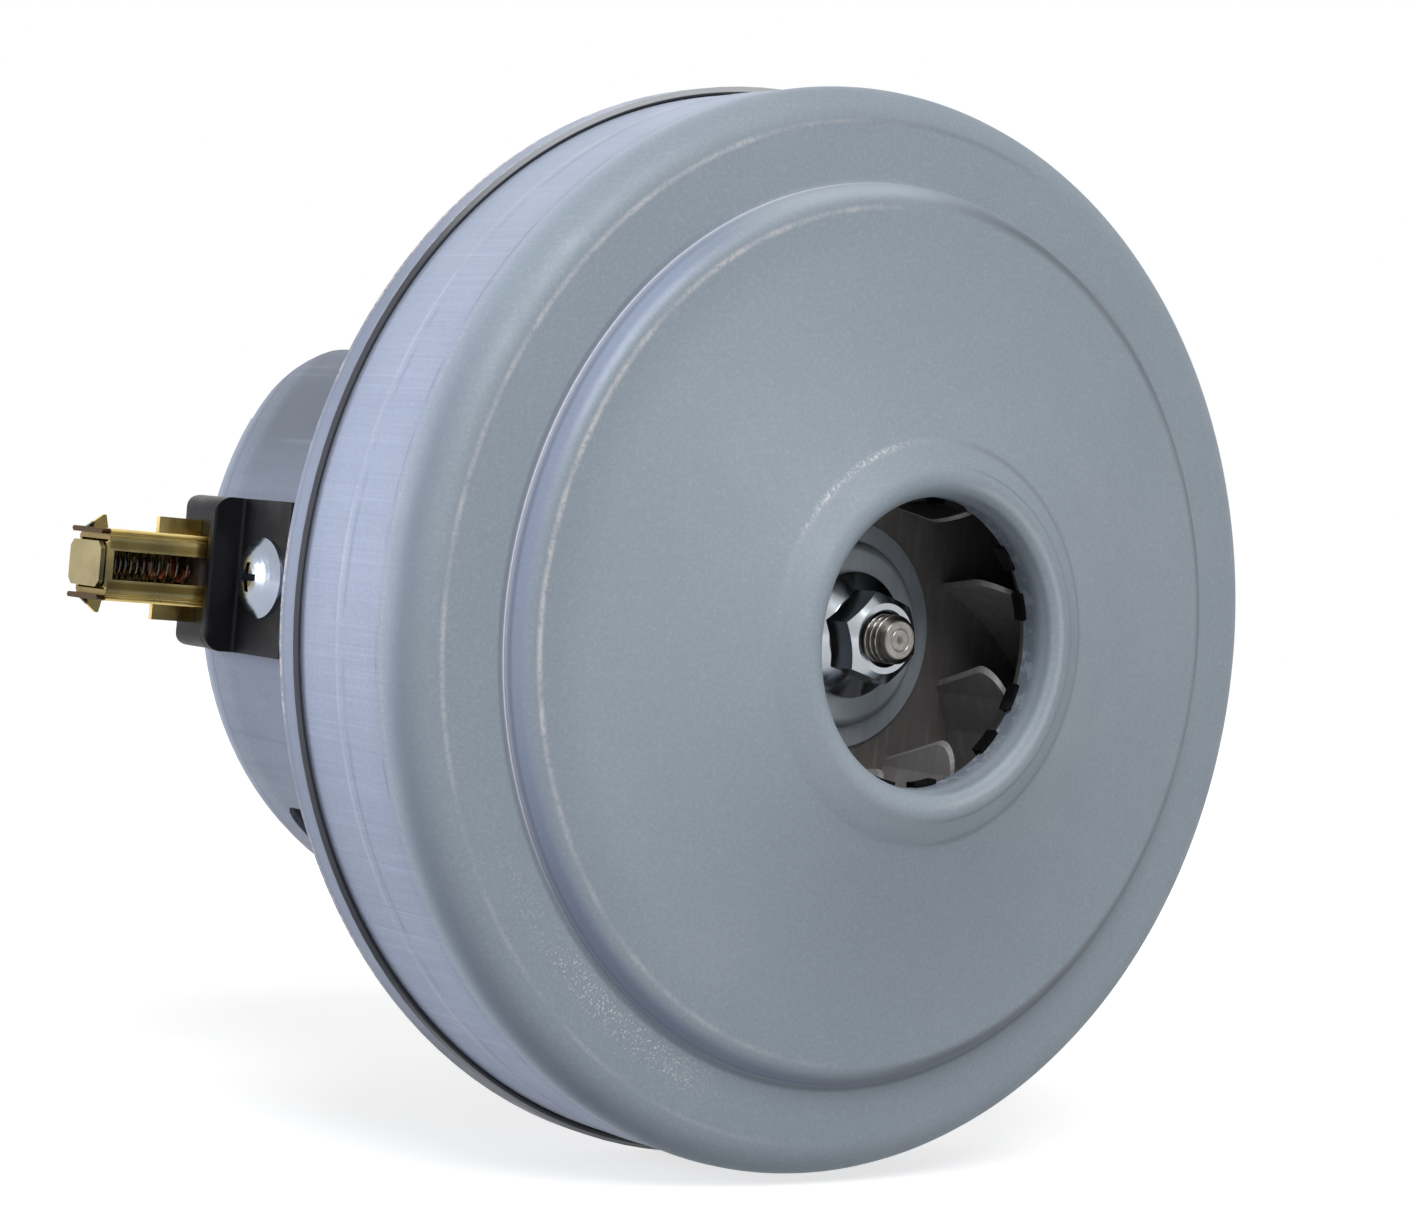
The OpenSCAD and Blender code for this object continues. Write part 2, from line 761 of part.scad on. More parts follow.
module ball_cage(bore, od, w, ball, y) {
    gap = 0.4;
    fork = 0.8;
    half = (od - bore) / 4 - ring_wall(bore, od) - gap;
    mid = race_r(bore, od);
    color(brass) difference() {
        ring(mid - half, mid + half, y + gap, y + w / 2 + fork);
        around(ball_count) translate([mid, y + w / 2, 0]) rotate([0, 90, 0])
            cylinder(d = ball + 2 * pocket_fit, h = 2 * (half + gap), center = true);
    }
}

module front_bearing_outer_ring() {
    outer_ring(front_bore, front_od, front_w, front_ball, front_bearing_y);
}

module front_bearing_inner_ring() {
    inner_ring(front_bore, front_od, front_w, front_ball, front_bearing_y);
}

module front_bearing_balls() {
    ball_set(front_bore, front_od, front_w, front_ball, front_bearing_y);
}

module front_bearing_cage() {
    ball_cage(front_bore, front_od, front_w, front_ball, front_bearing_y);
}

module rear_bearing_outer_ring() {
    outer_ring(rear_bore, rear_od, rear_w, rear_ball, rear_bearing_y);
}

module rear_bearing_inner_ring() {
    inner_ring(rear_bore, rear_od, rear_w, rear_ball, rear_bearing_y);
}

module rear_bearing_balls() {
    ball_set(rear_bore, rear_od, rear_w, rear_ball, rear_bearing_y);
}

module rear_bearing_cage() {
    ball_cage(rear_bore, rear_od, rear_w, rear_ball, rear_bearing_y);
}

module rear_wave_washer() {
    steps = 48;
    waves = 3;
    strip = 2;
    outer = rear_od / 2 - 0.6;
    inner = outer - strip;
    swing = (wave_h - wave_t) / 2 - 2 * eps;
    mid = rear_bearing_end + wave_h / 2;
    color(steel) skin([for (i = [0:steps - 1])
        let (a = 360 * i / steps, y = mid + swing * sin(waves * a), side = [cos(a), 0, sin(a)])
        [for (c = [[inner, -1], [outer, -1], [outer, 1], [inner, 1]])
            c[0] * side + [0, y + c[1] * wave_t / 2, 0]]], closed = true);
}

// Stator

module pole_pair() {
    for (side = [0, 180]) rotate(side) children();
}

module stator_core() {
    stator_r = can_r - casing_t - fit;
    color(steel) along_shaft(stack_front, stack_back) difference() {
        union() {
            difference() {
                intersection() {
                    circle(stator_r);
                    square([2 * stator_r, 2 * stator_flat], center = true);
                }
                circle(yoke_r);
            }
            pole_pair() translate([-pole_half, bore_r - 2])
                square([2 * pole_half, stator_flat - bore_r + 1]);
            pole_pair() intersection() {
                circle(bore_r + shoe_t);
                polygon([[0, 0], big * [sin(shoe_angle), cos(shoe_angle)], [0, 2 * big],
                    big * [-sin(shoe_angle), cos(shoe_angle)]]);
            }
        }
        circle(bore_r);
    }
}

// A saddle wound round the upper pole, at a distance from its neck and with a wall
module saddle(gap, side_wall, end_wall, inner_round, outer_round) {
    length = stack_len + 2 * gap;
    intersection() {
        ring(coil_low_r, coil_high_r, stack_front - big / 2, stack_back + big / 2);
        translate([0, (stack_front + stack_back) / 2, coil_floor]) linear_extrude(big) difference() {
            rounded_rect(2 * (pole_half + gap + side_wall), length + 2 * end_wall, outer_round);
            rounded_rect(2 * (pole_half + gap), length, inner_round);
        }
    }
}

module field_coil() {
    gap = bobbin_gap + bobbin_t + bobbin_gap;
    color(copper) saddle(gap, coil_w, coil_end - gap, inner_round = bobbin_round + bobbin_t + bobbin_gap,
        outer_round = coil_end);
}

module field_coil_upper() {
    field_coil();
}

module field_coil_lower() {
    rotate([0, 180, 0]) field_coil();
}

module coil_bobbins() {
    color(paper) for (side = [0, 180]) rotate([0, side, 0])
        saddle(bobbin_gap, bobbin_t, bobbin_t, inner_round = bobbin_round,
            outer_round = bobbin_round + bobbin_t);
}

// Armature and commutator

module armature_slots(r, open, from, to) {
    around(slot_count) {
        translate([slot_ring_r, 0, 0]) rod(r, from, to);
        block([slot_ring_r, from, -open / 2], [core_r + 1, to, open / 2]);
    }
}

module armature_core() {
    color(steel) difference() {
        ring(shaft_r + fit, core_r, stack_front, stack_back);
        armature_slots(slot_r, slot_open, stack_front - 1, stack_back + 1);
    }
}

module armature_end_plates() {
    color(resin) difference() {
        for (y = [stack_front - end_plate_t - fit, stack_back + fit])
            ring(shaft_r + fit, core_r - 1, y, y + end_plate_t);
        armature_slots(slot_r, slot_open, stack_front - 5, stack_back + 5);
    }
}

module armature_winding() {
    gap = end_plate_t + 2 * fit;
    front = stack_front - gap - head_len;
    back = stack_back + gap;
    slot_liner = 0.2;
    head_in = shaft_r + 1;
    head_out = slot_ring_r + slot_r + 1;
    head_round = 1.4;
    color(copper) {
        for (y = [front, back]) turned(rounded([
            [head_in, y, 0],
            [head_out, y, head_round],
            [head_out, y + head_len, head_round],
            [head_in, y + head_len, 0]
        ]));
        around(slot_count) translate([slot_ring_r, 0, 0])
            rod(slot_r - slot_liner, front + head_len / 2, back + head_len / 2);
    }
}

module commutator_bars() {
    riser_r = comm_r + 1.4;
    riser_t = 1.2;
    chamfer = 0.4;
    color(copper) difference() {
        turned([
            [hub_r + fit, comm_front],
            [riser_r, comm_front],
            [riser_r, comm_front + riser_t],
            [comm_r, comm_front + riser_t],
            [comm_r, comm_back - chamfer],
            [comm_r - chamfer, comm_back],
            [hub_r + fit, comm_back]
        ]);
        around(bar_count)
            block([hub_r / 2, comm_front - 1, -bar_gap / 2], [big, comm_back + 1, bar_gap / 2]);
    }
}

module commutator_hub() {
    color(resin) ring(shaft_r + fit, hub_r, comm_front, comm_back);
}

module rotor_shaft() {
    thread_r = thread_d / 2;
    tip_r = thread_r - 0.8;
    tip_chamfer = 0.6;
    end_chamfer = 0.5;
    seat_r = front_bore / 2;
    end_r = rear_bore / 2;
    color(zinc) turned([
        [0, tip_y],
        [tip_r, tip_y],
        [thread_r, tip_y + tip_chamfer],
        [thread_r, spacer_y],
        [seat_r, spacer_y],
        [seat_r, front_bearing_end + fit],
        [shaft_r, front_bearing_end + fit],
        [shaft_r, rear_bearing_y - fit],
        [end_r, rear_bearing_y - fit],
        [end_r, shaft_end - end_chamfer],
        [end_r - end_chamfer, shaft_end],
        [0, shaft_end]
    ]);
}

// Fan

thread_clear_r = thread_d / 2 + fit;
eye_bend = 0.6;
shroud_path = rounded([[eye_r, eye_y, 0], [eye_r, eye_y + eye_collar, eye_bend], [fan_r, shroud_y, 0]]);
shroud_slope = (shroud_y - eye_y - eye_collar) / (fan_r - eye_r);
shroud_drop = blade_t * sqrt(1 + pow(shroud_slope, 2)) + fit;
function under_shroud(r) = eye_y + eye_collar + (r - eye_r) * shroud_slope + shroud_drop;

module fan_spacer() {
    color(steel) ring(front_bore / 2 + fit, spacer_r, spacer_y, front_bearing_y);
}

module fan_rear_washer() {
    color(steel) ring(thread_clear_r, rear_clamp_r, fan_rear_y, spacer_y);
}

module fan_back_plate() {
    color(fan_metal) ring(thread_clear_r, fan_r, back_y, fan_rear_y);
}

module fan_front_plate() {
    color(fan_metal) turned(sheet(shroud_path, blade_t));
}

module fan_blades() {
    eye_in = eye_r - blade_t - 0.2;
    eye_out = eye_r + blade_t;
    eye_relief = 0.4;
    lead_y = eye_y + 0.8;
    tip_r = fan_r - 0.4;
    lead_half = atan2(back_y - lead_y, blade_rake) / 2;
    lead_round = min(blade_round, (eye_in - blade_lead_r - fit) * tan(lead_half));
    color(fan_metal) intersection() {
        around(blade_count, blade_start) along_shaft(lead_y - 1, back_y)
            polygon(vane(blade_lead_r, fan_r + 1, blade_sweep, blade_t));
        turned(rounded([
            [blade_lead_r + blade_rake, back_y - fit, 0],
            [blade_lead_r, lead_y, lead_round],
            [eye_in, lead_y, 0],
            [eye_in, under_shroud(eye_in) + eye_relief, 0],
            [eye_out, under_shroud(eye_out), 0],
            [tip_r, under_shroud(tip_r), 0],
            [tip_r, back_y - fit, 0]
        ]));
    }
}

module fan_front_washer() {
    step = clamp_h - blade_t;
    dish_r = clamp_r - 2.8;
    crown = 1.2;
    foot = 0.25;
    color(fan_metal) turned(rounded([
        [thread_clear_r, back_y, 0],
        [clamp_r, back_y, 0],
        [clamp_r, clamp_y + step, foot],
        [dish_r, clamp_y + step, foot],
        [dish_r, clamp_y, crown],
        [thread_clear_r, clamp_y, 0]
    ]));
}

module flange_nut() {
    hex_r = nut_af / sqrt(3);
    hex_in = nut_af / 2 - 0.7;
    hex_chamfer = 0.9;
    neck_r = nut_af / 2 - 0.1;
    flange_edge = 0.9;
    flange_top = clamp_y - 2.6;
    countersink = 0.5;
    color(zinc) rotate([0, -nut_turn, 0]) difference() {
        union() {
            turned(rounded([
                [0, clamp_y, 0],
                [nut_flange_r, clamp_y, 0],
                [nut_flange_r, clamp_y - flange_edge, 0.4],
                [neck_r, flange_top, 0.6],
                [neck_r, flange_top - 1, 0],
                [0, flange_top - 1, 0]
            ]));
            intersection() {
                along_shaft(nut_y, clamp_y) rotate(90) circle(hex_r, $fn = 6);
                turned([[0, nut_y], [hex_in, nut_y], [hex_r, nut_y + hex_chamfer],
                    [hex_r, clamp_y], [0, clamp_y]]);
            }
        }
        rod(thread_clear_r, nut_y - 1, clamp_y + 1);
        turned([
            [0, nut_y - eps],
            [thread_clear_r + countersink, nut_y - eps],
            [thread_clear_r, nut_y + countersink],
            [0, nut_y + countersink]
        ]);
    }
}

// Brush gear on the +X side

// A flat shape in X and Y as high as the holder, its outer edges rounded
module holder_slab(top, edge_round) {
    intersection() {
        translate([0, 0, -holder_h / 2]) linear_extrude(holder_h) children();
        along_shaft(holder_front - 1, body_back + 1) translate([top - holder_h, 0])
            rounded_rect(2 * holder_h, holder_h, edge_round);
    }
}

module holder_foot_and_wall() {
    edge = 0.5;
    holder_slab(wall_r, 2.4) polygon(rounded([
        [holder_root, holder_front, 0],
        [foot_r, holder_front, edge],
        [foot_r, wall_y, edge],
        [wall_r, wall_y, edge],
        [wall_r, wall_y + wall_t, edge],
        [holder_root, wall_y + wall_t, 0]
    ]));
}

module holder_body() {
    holder_slab(body_r, 3) polygon(rounded([
        [holder_root, wall_y + wall_t / 2, 0],
        [body_r, wall_y + wall_t / 2, 0],
        [body_r, body_back, 2.2],
        [holder_root, body_back, 0]
    ]));
}

module brush_holder() {
    color(black) difference() {
        union() {
            difference() {
                union() {
                    holder_foot_and_wall();
                    holder_body();
                }
                rod(can_r + fit, 0, can_len);
            }
            translate([0, brush_y, 0]) along_brush(sleeve_inner, body_r - body_h / 2)
                square([sleeve_w, sleeve_h], center = true);
        }
        translate([0, brush_y, 0]) along_brush(0, big)
            square([box_w + 2 * brush_fit, box_h + 2 * brush_fit], center = true);
        translate([0, holder_screw_y, 0]) rotate([0, 90, 0]) cylinder(r = holder_bolt_r + fit, h = big);
    }
}

module brush_holder_left() {
    mirror([1, 0, 0]) brush_holder();
}

module brush_holder_right() {
    brush_holder();
}

tab_h = 2.1;
tab_t = 0.8;
tab_tip = body_r + 6.2;
barb_h = 1.7;
barb_t = 0.6;
barb_y = 1;

// Shoulder tab and barb on the roof of the brush box
module roof_tabs() {
    roof = box_h / 2 - eps;
    top = roof + barb_h;
    tip = box_tip - 0.3;
    block([body_r + fit, -tab_t / 2, roof], [tab_tip, tab_t / 2, roof + tab_h]);
    translate([0, barb_y + barb_t / 2, 0]) rotate([90, 0, 0]) linear_extrude(barb_t)
        polygon([[tip, roof], [tip - 2.2, top], [tip - 2.6, top], [tip - 3, roof]]);
}

module brush_box() {
    inner_h = box_h - 2 * box_roof;
    cap_start = box_tip - cap_t;
    edge = 0.5;
    groove_z = box_h / 2 - 0.7;
    groove_r = 0.28;
    notch_h = 1;
    cap_h = inner_h - 0.6;
    cap_gap = 0.25;
    cap_clip = 1.2;
    color(brass) translate([0, brush_y, 0]) difference() {
        union() {
            along_brush(box_inner_end, box_tip) rounded_rect(box_w, box_h, edge);
            roof_tabs();
            mirror([0, 0, 1]) roof_tabs();
        }
        along_brush(0, cap_start) square([box_w - 2 * box_wall, inner_h], center = true);
        for (y = [-1, 1], z = [-1, 1]) translate([0, y * box_w / 2, z * groove_z])
            along_brush(0, big) circle(groove_r);
        block([box_inner_end + 6, -box_w, -slot_h / 2], [slot_tip, 0, slot_h / 2]);
        for (z = [-1, 1]) translate([0, 0, z * (cap_h + notch_h) / 2])
            along_brush(cap_start - cap_t, big) square([box_w + 1, notch_h], center = true);
        for (y = [-1, 1], z = [-1, 1]) translate([0, y * box_w / 2, z * cap_h / 2])
            along_brush(cap_start, big) rotate(45) square(cap_clip, center = true);
        block([cap_start - cap_gap, -box_w, -inner_h / 2],
            [cap_start, box_w / 2 - 2 * box_wall, inner_h / 2]);
    }
}

module brush_box_left() {
    mirror([1, 0, 0]) brush_box();
}

module brush_box_right() {
    brush_box();
}

module carbon_brush() {
    color(carbon) difference() {
        translate([0, brush_y, 0]) along_brush(comm_r / 2, brush_end) rounded_rect(brush_w, brush_h, 0.3);
        rod(comm_r + brush_gap, comm_front - 5, comm_back + 5);
    }
}

module carbon_brush_left() {
    mirror([1, 0, 0]) carbon_brush();
}

module carbon_brush_right() {
    carbon_brush();
}

// A wire wound about the brush axis, given its place [x, angle] at each ring
module wound_wire(places, r, wire_r, sides = 6) {
    translate([0, brush_y, 0]) skin([for (p = places)
        let (side = [0, cos(p[1]), sin(p[1])])
        [for (j = [0:sides - 1]) let (a = 360 * j / sides)
            [p[0], 0, 0] + (r + wire_r * cos(a)) * side - [wire_r * sin(a), 0, 0]]]);
}

// The spring's turns widen from its outer end towards the brush
curl_rings = 8;
function spring_x(u) =
    spring_start + spring_turns * (spring_wide * u - (spring_wide - spring_tight) * u * u / 2);
spring_places = [for (i = [0:curl_rings * spring_turns]) let (u = i / (curl_rings * spring_turns))
    [spring_x(u), 360 * spring_turns * u]];
spring_points = [for (p = spring_places) [p[0], spring_r * cos(p[1]), spring_r * sin(p[1])]];
spring_gap = min([for (i = [0:len(spring_points) - 1], j = [i + curl_rings / 2:1:len(spring_points) - 1])
    norm(spring_points[i] - spring_points[j])]) - spring_wire;
echo(spring_gap = spring_gap);

module brush_spring() {
    color(steel) wound_wire(spring_places, spring_r, spring_wire / 2);
}

module brush_spring_left() {
    mirror([1, 0, 0]) brush_spring();
}

module brush_spring_right() {
    brush_spring();
}

// The pigtail is a loose copper strand that winds through the spring, most closely behind the brush
pigtail_swing = spring_od / 2 - spring_wire - pigtail_d / 2 - 0.3;
pigtail_from = brush_end + pigtail_d / 2 + wire_gap;
pigtail_to = box_tip - cap_t - pigtail_d / 2 - wire_gap;
pigtail_crowding = 1.5;
pigtail_places = [for (i = [0:curl_rings * pigtail_turns]) let (u = i / (curl_rings * pigtail_turns))
    [pigtail_from + (pigtail_to - pigtail_from) * pow(u, pigtail_crowding), 180 + 360 * pigtail_turns * u]];

module brush_pigtail() {
    color(copper) wound_wire(pigtail_places, pigtail_swing, pigtail_d / 2);
}

module brush_pigtail_left() {
    mirror([1, 0, 0]) brush_pigtail();
}

module brush_pigtail_right() {
    brush_pigtail();
}

module brush_holder_screws() {
    head_h = 2.6;
    shank = foot_t + casing_t - 2 * fit;
    color(zinc) for (side = [0, 1]) mirror([side, 0, 0])
        translate([foot_r, holder_screw_y, 0]) rotate([0, 0, 90]) difference() {
            turned(concat([[0, -head_h]], dome(holder_screw_r, head_h),
                [[holder_screw_r, 0], [holder_bolt_r, 0], [holder_bolt_r, shank], [0, shank]]));
            cross_slot(-head_h, span = 3.8, width = 0.9, depth = 1.4);
        }
}

// Points down the side of a domed screw head that faces -Y
function dome(r, h) =
    let (rim = 0.6, sag = h - rim, ball = (r * r + sag * sag) / (2 * sag))
    let (from = 270, to = 270 + asin(r / ball))
    [for (i = [1:arc_steps]) let (a = from + (to - from) * i / arc_steps)
        [ball * cos(a), -h + ball + ball * sin(a)]];

fan_cover();
inlet_seal_ring();
diffuser();
diffuser_screws();
motor_casing();
bearing_bracket();
bracket_screws();
front_bearing_outer_ring();
front_bearing_inner_ring();
front_bearing_balls();
front_bearing_cage();
rear_bearing_outer_ring();
rear_bearing_inner_ring();
rear_bearing_balls();
rear_bearing_cage();
rear_wave_washer();
stator_core();
field_coil_upper();
field_coil_lower();
coil_bobbins();
rotor_shaft();
armature_core();
armature_end_plates();
armature_winding();
commutator_bars();
commutator_hub();
fan_spacer();
fan_rear_washer();
fan_back_plate();
fan_blades();
fan_front_plate();
fan_front_washer();
flange_nut();
brush_holder_left();
brush_holder_right();
brush_box_left();
brush_box_right();
carbon_brush_left();
carbon_brush_right();
brush_spring_left();
brush_spring_right();
brush_pigtail_left();
brush_pigtail_right();
brush_holder_screws();
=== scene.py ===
import math

import bmesh
import bpy
import numpy as np
from mathutils import Matrix, Vector


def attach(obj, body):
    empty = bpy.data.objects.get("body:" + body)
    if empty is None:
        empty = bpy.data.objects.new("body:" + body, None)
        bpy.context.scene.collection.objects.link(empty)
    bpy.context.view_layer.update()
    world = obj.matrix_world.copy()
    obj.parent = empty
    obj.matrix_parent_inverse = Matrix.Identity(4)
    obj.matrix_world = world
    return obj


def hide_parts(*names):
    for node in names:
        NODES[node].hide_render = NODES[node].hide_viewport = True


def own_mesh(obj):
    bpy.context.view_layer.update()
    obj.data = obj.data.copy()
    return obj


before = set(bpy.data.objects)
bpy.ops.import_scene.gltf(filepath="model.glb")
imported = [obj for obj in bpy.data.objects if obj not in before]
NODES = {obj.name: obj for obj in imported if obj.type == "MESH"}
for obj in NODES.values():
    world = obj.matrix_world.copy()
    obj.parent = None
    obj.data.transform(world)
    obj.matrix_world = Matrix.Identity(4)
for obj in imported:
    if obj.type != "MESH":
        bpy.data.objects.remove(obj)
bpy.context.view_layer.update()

MM = 0.001
TURN = 2 * math.pi


# Geometry helpers, all in millimetres

def make_piece(name, verts, faces, smooth_angle=40):
    """A mesh object from points in millimetres, smooth but for edges sharper than an angle."""
    data = bpy.data.meshes.new(name)
    data.from_pydata((np.asarray(verts, float) * MM).tolist(), [], faces)
    data.update()
    shape = bmesh.new()
    shape.from_mesh(data)
    bmesh.ops.recalc_face_normals(shape, faces=shape.faces)
    shape.to_mesh(data)
    shape.free()
    data.polygons.foreach_set("use_smooth", [True] * len(data.polygons))
    data.set_sharp_from_angle(angle=math.radians(smooth_angle))
    piece = bpy.data.objects.new(name, data)
    bpy.context.scene.collection.objects.link(piece)
    return piece


def grid_faces(rows, columns, wrap_rows=False):
    """Quads over a grid of points stored row by row, closed along each row."""
    faces = []
    for i in range(rows if wrap_rows else rows - 1):
        for j in range(columns):
            a, b = i * columns + j, i * columns + (j + 1) % columns
            d, c = (i + 1) % rows * columns + j, (i + 1) % rows * columns + (j + 1) % columns
            faces.append((a, b, c, d))
    return faces


def arc_points(centre, radius, start, end, steps):
    """Points along an arc between two angles in degrees."""
    angles = np.radians(np.linspace(start, end, steps + 1))
    return [(centre[0] + radius * math.cos(a), centre[1] + radius * math.sin(a)) for a in angles]


def rounded_path(corners, steps=10):
    """A path through corners given as (x, y, rounding)."""
    path = []
    for i, (x, y, r) in enumerate(corners):
        here = np.array([x, y], float)
        if r == 0 or i in (0, len(corners) - 1):
            path.append(tuple(here))
            continue
        u = np.array(corners[i - 1][:2]) - here
        v = np.array(corners[i + 1][:2]) - here
        u, v = u / np.linalg.norm(u), v / np.linalg.norm(v)
        half = math.acos(np.clip(u @ v, -1, 1)) / 2
        reach = r / math.tan(half)
        centre = here + (u + v) / np.linalg.norm(u + v) * r / math.sin(half)
        start, end = here + u * reach - centre, here + v * reach - centre
        turn = math.pi - 2 * half
        for k in range(steps + 1):
            t = turn * k / steps
            p = centre + (start * math.sin(turn - t) + end * math.sin(t)) / math.sin(turn)
            path.append(tuple(p))
    return path


def held_straight(path, reach=0.4):
    """Adds a point near both ends of each long straight stretch, so that its shading stays straight."""
    held = [path[0]]
    for a, b in zip(path, path[1:]):
        a, b = np.array(a), np.array(b)
        length = np.linalg.norm(b - a)
        if length > 5 * reach:
            step = (b - a) / length * reach
            held += [tuple(a + step), tuple(b - step)]
        held.append(tuple(b))
    return held


def sheet_outline(path, thickness):
    """Outline of a sheet whose thickness lies on the left of a path."""
    p = np.array(path, float)
    d = np.diff(p, axis=0)
    d /= np.linalg.norm(d, axis=1)[:, None]
    n = np.stack([-d[:, 1], d[:, 0]], axis=1)
    before, after = np.vstack([n[:1], n]), np.vstack([n, n[-1:]])
    shift = (before + after) / (1 + np.sum(before * after, axis=1))[:, None]
    return list(map(tuple, p)) + list(map(tuple, (p + thickness * shift)[::-1]))


def turned_points(profile, angles):
    """Rows of points for a profile of (radius, y) turned about the shaft."""
    p = np.array(profile, float)
    x = p[:, :1] * np.cos(angles)
    z = p[:, :1] * np.sin(angles)
    y = np.repeat(p[:, 1:], len(angles), axis=1)
    return np.stack([x, y, z], axis=2).reshape(-1, 3)


def turned_mesh(outline, segments):
    """Points and faces of a closed outline of (radius, y) turned about the shaft."""
    angles = np.linspace(0, TURN, segments, endpoint=False)
    return turned_points(outline, angles), grid_faces(len(outline), segments, wrap_rows=True)


def tube_mesh(path, radius, sides=8):
    """Points and faces of a round wire along an open path, with capped ends."""
    p = np.array(path, float)
    t = np.gradient(p, axis=0)
    t /= np.linalg.norm(t, axis=1)[:, None]
    n = np.cross(t[0], [0.31, 0.87, 0.38])
    rings = []
    angles = np.linspace(0, TURN, sides, endpoint=False)
    for here, ahead in zip(p, t):
        n = n - ahead * (n @ ahead)
        n /= np.linalg.norm(n)
        b = np.cross(ahead, n)
        rings.append(here + radius * (np.cos(angles)[:, None] * n + np.sin(angles)[:, None] * b))
    last = (len(p) - 1) * sides
    caps = [tuple(range(sides))[::-1], tuple(range(last, last + sides))]
    return np.vstack(rings), grid_faces(len(p), sides) + caps


def join_meshes(parts):
    """One list of points and faces from several."""
    verts, faces, start = [], [], 0
    for v, f in parts:
        verts.append(np.asarray(v))
        faces += [tuple(i + start for i in face) for face in f]
        start += len(v)
    return np.vstack(verts), faces


# Material helpers

class Surface:
    """A node material built step by step around its Principled shader."""

    def __init__(self, name, colour, metallic, roughness, **sockets):
        self.material = bpy.data.materials.new(name)
        self.material.use_nodes = True
        self.tree = self.material.node_tree
        self.shader = self.tree.nodes["Principled BSDF"]
        self.colour = (*colour, 1)
        self.put(self.shader.inputs["Base Color"], self.colour)
        self.put(self.shader.inputs["Metallic"], metallic)
        self.put(self.shader.inputs["Roughness"], roughness)
        for key, value in sockets.items():
            self.put(self.shader.inputs[key], value)
        self.place = self.node("ShaderNodeTexCoord").outputs["Object"]

    def put(self, socket, value):
        if isinstance(value, bpy.types.NodeSocket):
            self.tree.links.new(value, socket)
        else:
            socket.default_value = value

    def node(self, kind, inputs=None, **settings):
        made = self.tree.nodes.new(kind)
        for key, value in settings.items():
            setattr(made, key, value)
        for key, value in (inputs or {}).items():
            self.put(made.inputs[key], value)
        return made

    def math(self, operation, *values):
        return self.node("ShaderNodeMath", dict(enumerate(values)), operation=operation).outputs[0]

    def times(self, *values):
        total = values[0]
        for value in values[1:]:
            total = self.math("MULTIPLY", total, value)
        return total

    def noise(self, scale, detail=3, stretch=(1, 1, 1)):
        where = self.node("ShaderNodeMapping", {"Vector": self.place, "Scale": stretch})
        made = self.node("ShaderNodeTexNoise", {
            "Vector": where.outputs[0], "Scale": scale, "Detail": detail, "Roughness": 0.55})
        return made.outputs["Fac"]

    def remap(self, value, low, high, to_low=0.0, to_high=1.0, smooth=True):
        kind = "SMOOTHSTEP" if smooth else "LINEAR"
        return self.node("ShaderNodeMapRange", {
            "Value": value, "From Min": low, "From Max": high, "To Min": to_low, "To Max": to_high},
            interpolation_type=kind).outputs[0]

    def mix(self, factor, a, b):
        made = self.node("ShaderNodeMix", data_type="RGBA")
        for index, value in ((0, factor), (6, a), (7, b)):
            if isinstance(value, tuple) and len(value) == 3:
                value = (*value, 1)
            self.put(made.inputs[index], value)
        return made.outputs[2]

    def axes(self):
        """Place along X, Y and Z in millimetres."""
        split = self.node("ShaderNodeSeparateXYZ", {"Vector": self.place})
        return [self.math("MULTIPLY", value, 1000.0) for value in split.outputs]

    def polar(self):
        """Radius and place along the shaft in millimetres, then shares of left and up, from -1 to 1."""
        x, y, z = self.axes()
        radius = self.math("SQRT", self.math("ADD", self.times(x, x), self.times(z, z)))
        left = self.math("DIVIDE", self.math("MULTIPLY", x, -1.0), radius)
        return radius, y, left, self.math("DIVIDE", z, radius)

    def band(self, value, centre, width):
        """1 at a centre, falling to 0 at a width from it."""
        away = self.math("ABSOLUTE", self.math("SUBTRACT", value, centre))
        return self.remap(away, 0.0, width, 1.0, 0.0)

    def vary_colour(self, factor, colour):
        """Mixes a colour into what the shader shows so far."""
        socket = self.shader.inputs["Base Color"]
        now = socket.links[0].from_socket if socket.is_linked else self.colour
        self.put(socket, self.mix(factor, now, colour))

    def tint(self, colour, amount, *masks):
        """Mixes in a colour by an amount where all the masks are 1."""
        self.vary_colour(self.times(*masks, amount), colour)

    def shade(self, factor, share):
        """Lets the base colour run darker and lighter by a share."""
        self.vary_colour(self.remap(factor, 0.3, 0.5, share, 0.0), (0, 0, 0))
        self.vary_colour(self.remap(factor, 0.5, 0.7, 0.0, share), (1, 1, 1))

    def vary_roughness(self, factor, low, high):
        self.put(self.shader.inputs["Roughness"], self.remap(factor, 0.3, 0.7, low, high, smooth=False))

    def bump(self, height, distance, strength=1.0):
        """Adds a height, in millimetres, to what the surface's normal shows so far."""
        socket = self.shader.inputs["Normal"]
        made = self.node("ShaderNodeBump", {
            "Height": height, "Distance": distance * MM, "Strength": strength})
        if socket.is_linked:
            self.put(made.inputs["Normal"], socket.links[0].from_socket)
        self.put(socket, made.outputs[0])


